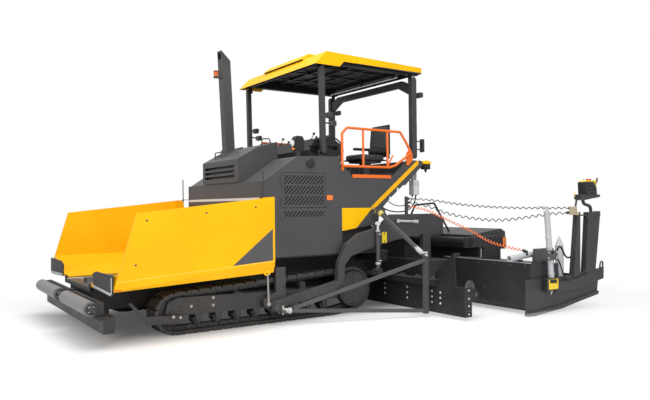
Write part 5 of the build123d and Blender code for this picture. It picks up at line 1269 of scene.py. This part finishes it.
def extension_marks(here, x, y, z, flat, ground):
    """Black guide tube, silver power tube and cone post, grey clamp, and a painted highlight on the top edge.
    """
    away = abs(abs(y) - 2.800)
    tube_line = z - 0.800 + (x + 1.760) * 0.0774
    tube = (away < 0.0435) * (abs(tube_line) < 0.0435) * x.between(-2.325, -1.755)
    cone = (abs(abs(y) - 2.850) < 0.062) * x.between(-2.897, -2.770) * (z > 0.4305)
    clamp = (abs(y) > 2.889) * (z > 0.741) * x.between(-2.502, -2.168)
    ground = clamp.mix(ground, (0.07, 0.072, 0.072))
    ground = tube.either(cone).mix(ground, (0.50, 0.52, 0.54))
    guide_x = (y > 0) * 0.180 - 1.880
    guide = (x - guide_x) ** 2 + (z - 1.000) ** 2 < 0.0060
    ground = guide.mix(ground, (0.008, 0.008, 0.009))
    # Painted highlight: a pale grey line along the plates' top edge.
    edge = (x > -1.978) * z.between(0.731, 0.745)
    return edge.mix(ground, (0.40, 0.40, 0.40))


dress(paint_finish("extension_paint", (0.026, 0.024, 0.028), extension_marks, dusty=0.10, coat=0.10),
      "extension_left", "extension_right")
EXTENSION_FRONT = -1.970
HOOD_SIDE = 1.500
gloss_black = paint_finish("gloss_black", (0.016, 0.016, 0.017), coat=0.9, rough=0.22, dusty=0.05)
for name, s in SIDES:
    places = [front_spot(EXTENSION_FRONT, s * y, 0.690) for y in (1.45, 1.75, 2.05, 2.35, 2.65, 2.90)]
    places.append(front_spot(EXTENSION_FRONT, s * 2.15, 0.330))
    grow(f"extension_bolts_{name}", bolt_tree, (0.011, 0.009), places, f"extension_{name}_body", black_oxide)
hood_bolts = [side_spot(x, y, z) for y in (HOOD_SIDE, -HOOD_SIDE)
              for x, z in ((-2.480, 0.960), (-2.480, 1.030), (-3.080, 0.880), (-3.080, 1.090))]
grow("screed_hood_bolts", bolt_tree, (0.012, 0.010), hood_bolts, "screed", black_oxide)
lamps, lamp_rims = [], []
for s in (1, -1):
    lamps.append(side_slab(oblong(-3.222, -3.138, 0.872, 1.006), s, 1.533, 1.541))
    lamp_rims.append(side_slab(oblong(-3.230, -3.130, 0.862, 0.870), s, HOOD_SIDE, 1.543))
add_solid("screed_side_lamps", lamps, "screed", amber, 0.003)
add_solid("screed_lamp_rims", lamp_rims, "screed", lamp_black, 0.001)


# End gates and control boxes. Plate gates in plate black with a runner worn bare; each tower carries a
# control box on a swan neck, with a yellow top, a red stop button, a small screen, knobs and toggles.
def gate_marks(here, x, y, z, flat, ground):
    """The runner's bare foot, the cord's drab socket, and the control box's coloured parts."""
    box = x.between(-3.480, -3.185) * (z > 1.893) + x.between(-3.480, -3.392) * z.between(1.820, 1.8931)
    housing = x.between(-3.480, -3.185) * (z > 1.690)
    ground = housing.mix(ground, (0.020, 0.020, 0.020))
    ground = box.mix(ground, (0.88, 0.62, 0.01))
    button = (z > 1.9135) * (abs(x + 3.360) < 0.034)
    ground = button.mix(ground, (0.65, 0.02, 0.01))
    connector = x.between(-3.052, -2.923) * z.between(1.394, 1.522)
    ground = connector.mix(ground, (0.46, 0.40, 0.26))
    runner = (z < 0.050) * (abs(y) > 3.020)
    return runner.mix(ground, (0.22, 0.22, 0.22))


dress(paint_finish("gate_paint", (0.040, 0.039, 0.042), gate_marks, dusty=0.12), "end_plate_left",
      "end_plate_right")
BOX_FACE = 3.070
BOX_MIDDLE = 3.000
BOX_KNOB = ((0.014, 0), (0.018, 0.003), (0.018, 0.014), (0.013, 0.018))
GRIP_LINE = ((-3.462, 3.004, 1.868), (-3.520, 3.004, 1.872), (-3.558, 3.004, 1.882), (-3.576, 3.004, 1.905),
             (-3.578, 3.004, 1.955))
HOOK_LINE = ((-3.050, BOX_MIDDLE, 1.660), (-3.015, BOX_MIDDLE, 1.665), (-3.000, BOX_MIDDLE, 1.690),
             (-3.005, BOX_MIDDLE, 1.725), (-3.030, BOX_MIDDLE, 1.738))
HANDLE_LINE = ((-3.575, 3.030, 0.560), (-3.578, 3.040, 0.640), (-3.590, 3.042, 0.665), (-3.620, 3.042, 0.672),
               (-3.645, 3.040, 0.660), (-3.655, 3.030, 0.580))
GATE_BOLTS = (
    # y of the face, and the bolts' x and z on it
    (3.055, ((-2.560, 0.380), (-2.900, 0.420), (-3.200, 0.470), (-3.500, 0.530), (-2.700, 0.330),
             (-3.300, 0.420))),
    (3.025, ((-1.900, 0.440), (-1.900, 0.150), (-2.250, 0.440), (-2.100, 0.240))),
    (3.042, ((-3.156, 0.560), (-3.236, 1.360))),
)
for name, s in SIDES:
    body = f"extension_{name}_body"
    knobs = [turned(BOX_KNOB, (-3.225 - 0.045 * k, s * BOX_FACE, z), (0, s, 0), 16)
             for k in range(5) for z in (1.735, 1.790)]
    knobs += [bar((x, s * BOX_MIDDLE, 1.908), (x - 0.006, s * BOX_MIDDLE, 1.940), 0.004, 8)
              for x in (-3.240, -3.300, -3.420)]
    add_solid(f"control_knobs_{name}", knobs, body, black_oxide)
    screen = side_slab(oblong(-3.430, -3.250, 1.815, 1.872), s, BOX_FACE - 0.001, BOX_FACE + 0.003)
    add_solid(f"control_screen_{name}", [screen], body, lamp_black, 0.001)
    for piece_name, line, radius, sides, finish, slot_name in (
            ("control_grip", GRIP_LINE, 0.012, 12, lamp_black, "lamp_housing"),
            ("control_hook", HOOK_LINE, 0.006, 8, yellow_paint, "yellow_paint"),
            ("gate_handle", HANDLE_LINE, 0.012, 12, gloss_black, "grey_paint")):
        path = [Vector((x, s * y, z)) for x, y, z in line]
        add_piece(f"{piece_name}_{name}", tube_mesh(piece_name, path, radius, sides), body, finish)
    places = [side_spot(x, s * y, z) for y, bolts in GATE_BOLTS for x, z in bolts]
    grow(f"gate_bolts_{name}", bolt_tree, (0.012, 0.010), places, body, black_oxide)


# Edge light poles. Anodised tube with bright collars, slid through a hinged cast clamp and topped by a bar
# handle, over a yellow sensor box with a small black display and a cable gland.
def pole_marks(here, x, y, z, flat, ground):
    """The sensor at the foot: a black bracket round a yellow box."""
    bracket = (z < 0.521) * (abs(y) > 3.037) * x.between(-2.447, -2.178)
    ground = bracket.mix(ground, (0.020, 0.020, 0.020))
    box = x.between(-2.432, -2.218) * z.between(0.358, 0.502) * (abs(y) > 3.037)
    return box.mix(ground, (0.90, 0.62, 0.004))


dress(paint_finish("pole_metal", (0.46, 0.47, 0.49), pole_marks, edge_wear_and_highlight=0.1, dusty=0.06, coat=0.3, rough=0.3),
      "light_pole_left", "light_pole_right")
POLE_Y = 3.070
CLAMP_OUTER = 3.118
WIDE_COLLAR = ((0.0405, 0), (0.047, 0.004), (0.047, 0.022), (0.0405, 0.026))
SLIM_COLLAR = ((0.0405, 0), (0.0435, 0.003), (0.0435, 0.020), (0.0405, 0.023))
SENSOR_GLAND = ((0.018, 0), (0.018, 0.020), (0.011, 0.028), (0.008, 0.060))
DISPLAY = ((-2.400, 0.440), (-2.245, 0.446), (-2.243, 0.500), (-2.400, 0.494))
COLLARS = ((WIDE_COLLAR, 0.200), (WIDE_COLLAR, 0.590), (WIDE_COLLAR, 0.720), (SLIM_COLLAR, 1.080))
for name, s in SIDES:
    body = f"extension_{name}_body"
    foot, head = Vector((-2.350, s * POLE_Y, 0.361)), Vector((-2.250, s * POLE_Y, 1.463))
    along = (head - foot).normalized()
    rings = [turned(collar, foot + along * step, along, 24) for collar, step in COLLARS]
    add_solid(f"pole_rings_{name}", rings, body, zinc)
    handle = [bar((-2.302, s * POLE_Y, 1.516), (-2.057, s * POLE_Y, 1.528), 0.010),
              bar((-2.262, s * POLE_Y, 1.440), (-2.255, s * POLE_Y, 1.518), 0.013)]
    add_solid(f"pole_handle_{name}", handle, body, strip_steel)
    display = side_slab(DISPLAY, s, CLAMP_OUTER - 0.004, CLAMP_OUTER)
    add_solid(f"sensor_display_{name}", [display], body, lamp_black, 0.001)
    knob = foot + along * 0.52
    gland = [turned(SENSOR_GLAND, (-2.330, s * 3.075, 0.342), (0.15, 0, -1), 14),
             bar(knob + Vector((0, s * 0.035, 0)), knob + Vector((0, s * 0.048, 0)), 0.022)]
    add_solid(f"sensor_gland_{name}", gland, body, strip_steel)
    places = [side_spot(x, s * CLAMP_OUTER, z) for x in (-2.400, -2.220) for z in (0.880, 0.800)]
    grow(f"clamp_bolts_{name}", bolt_tree, (0.010, 0.008), places, body, zinc)
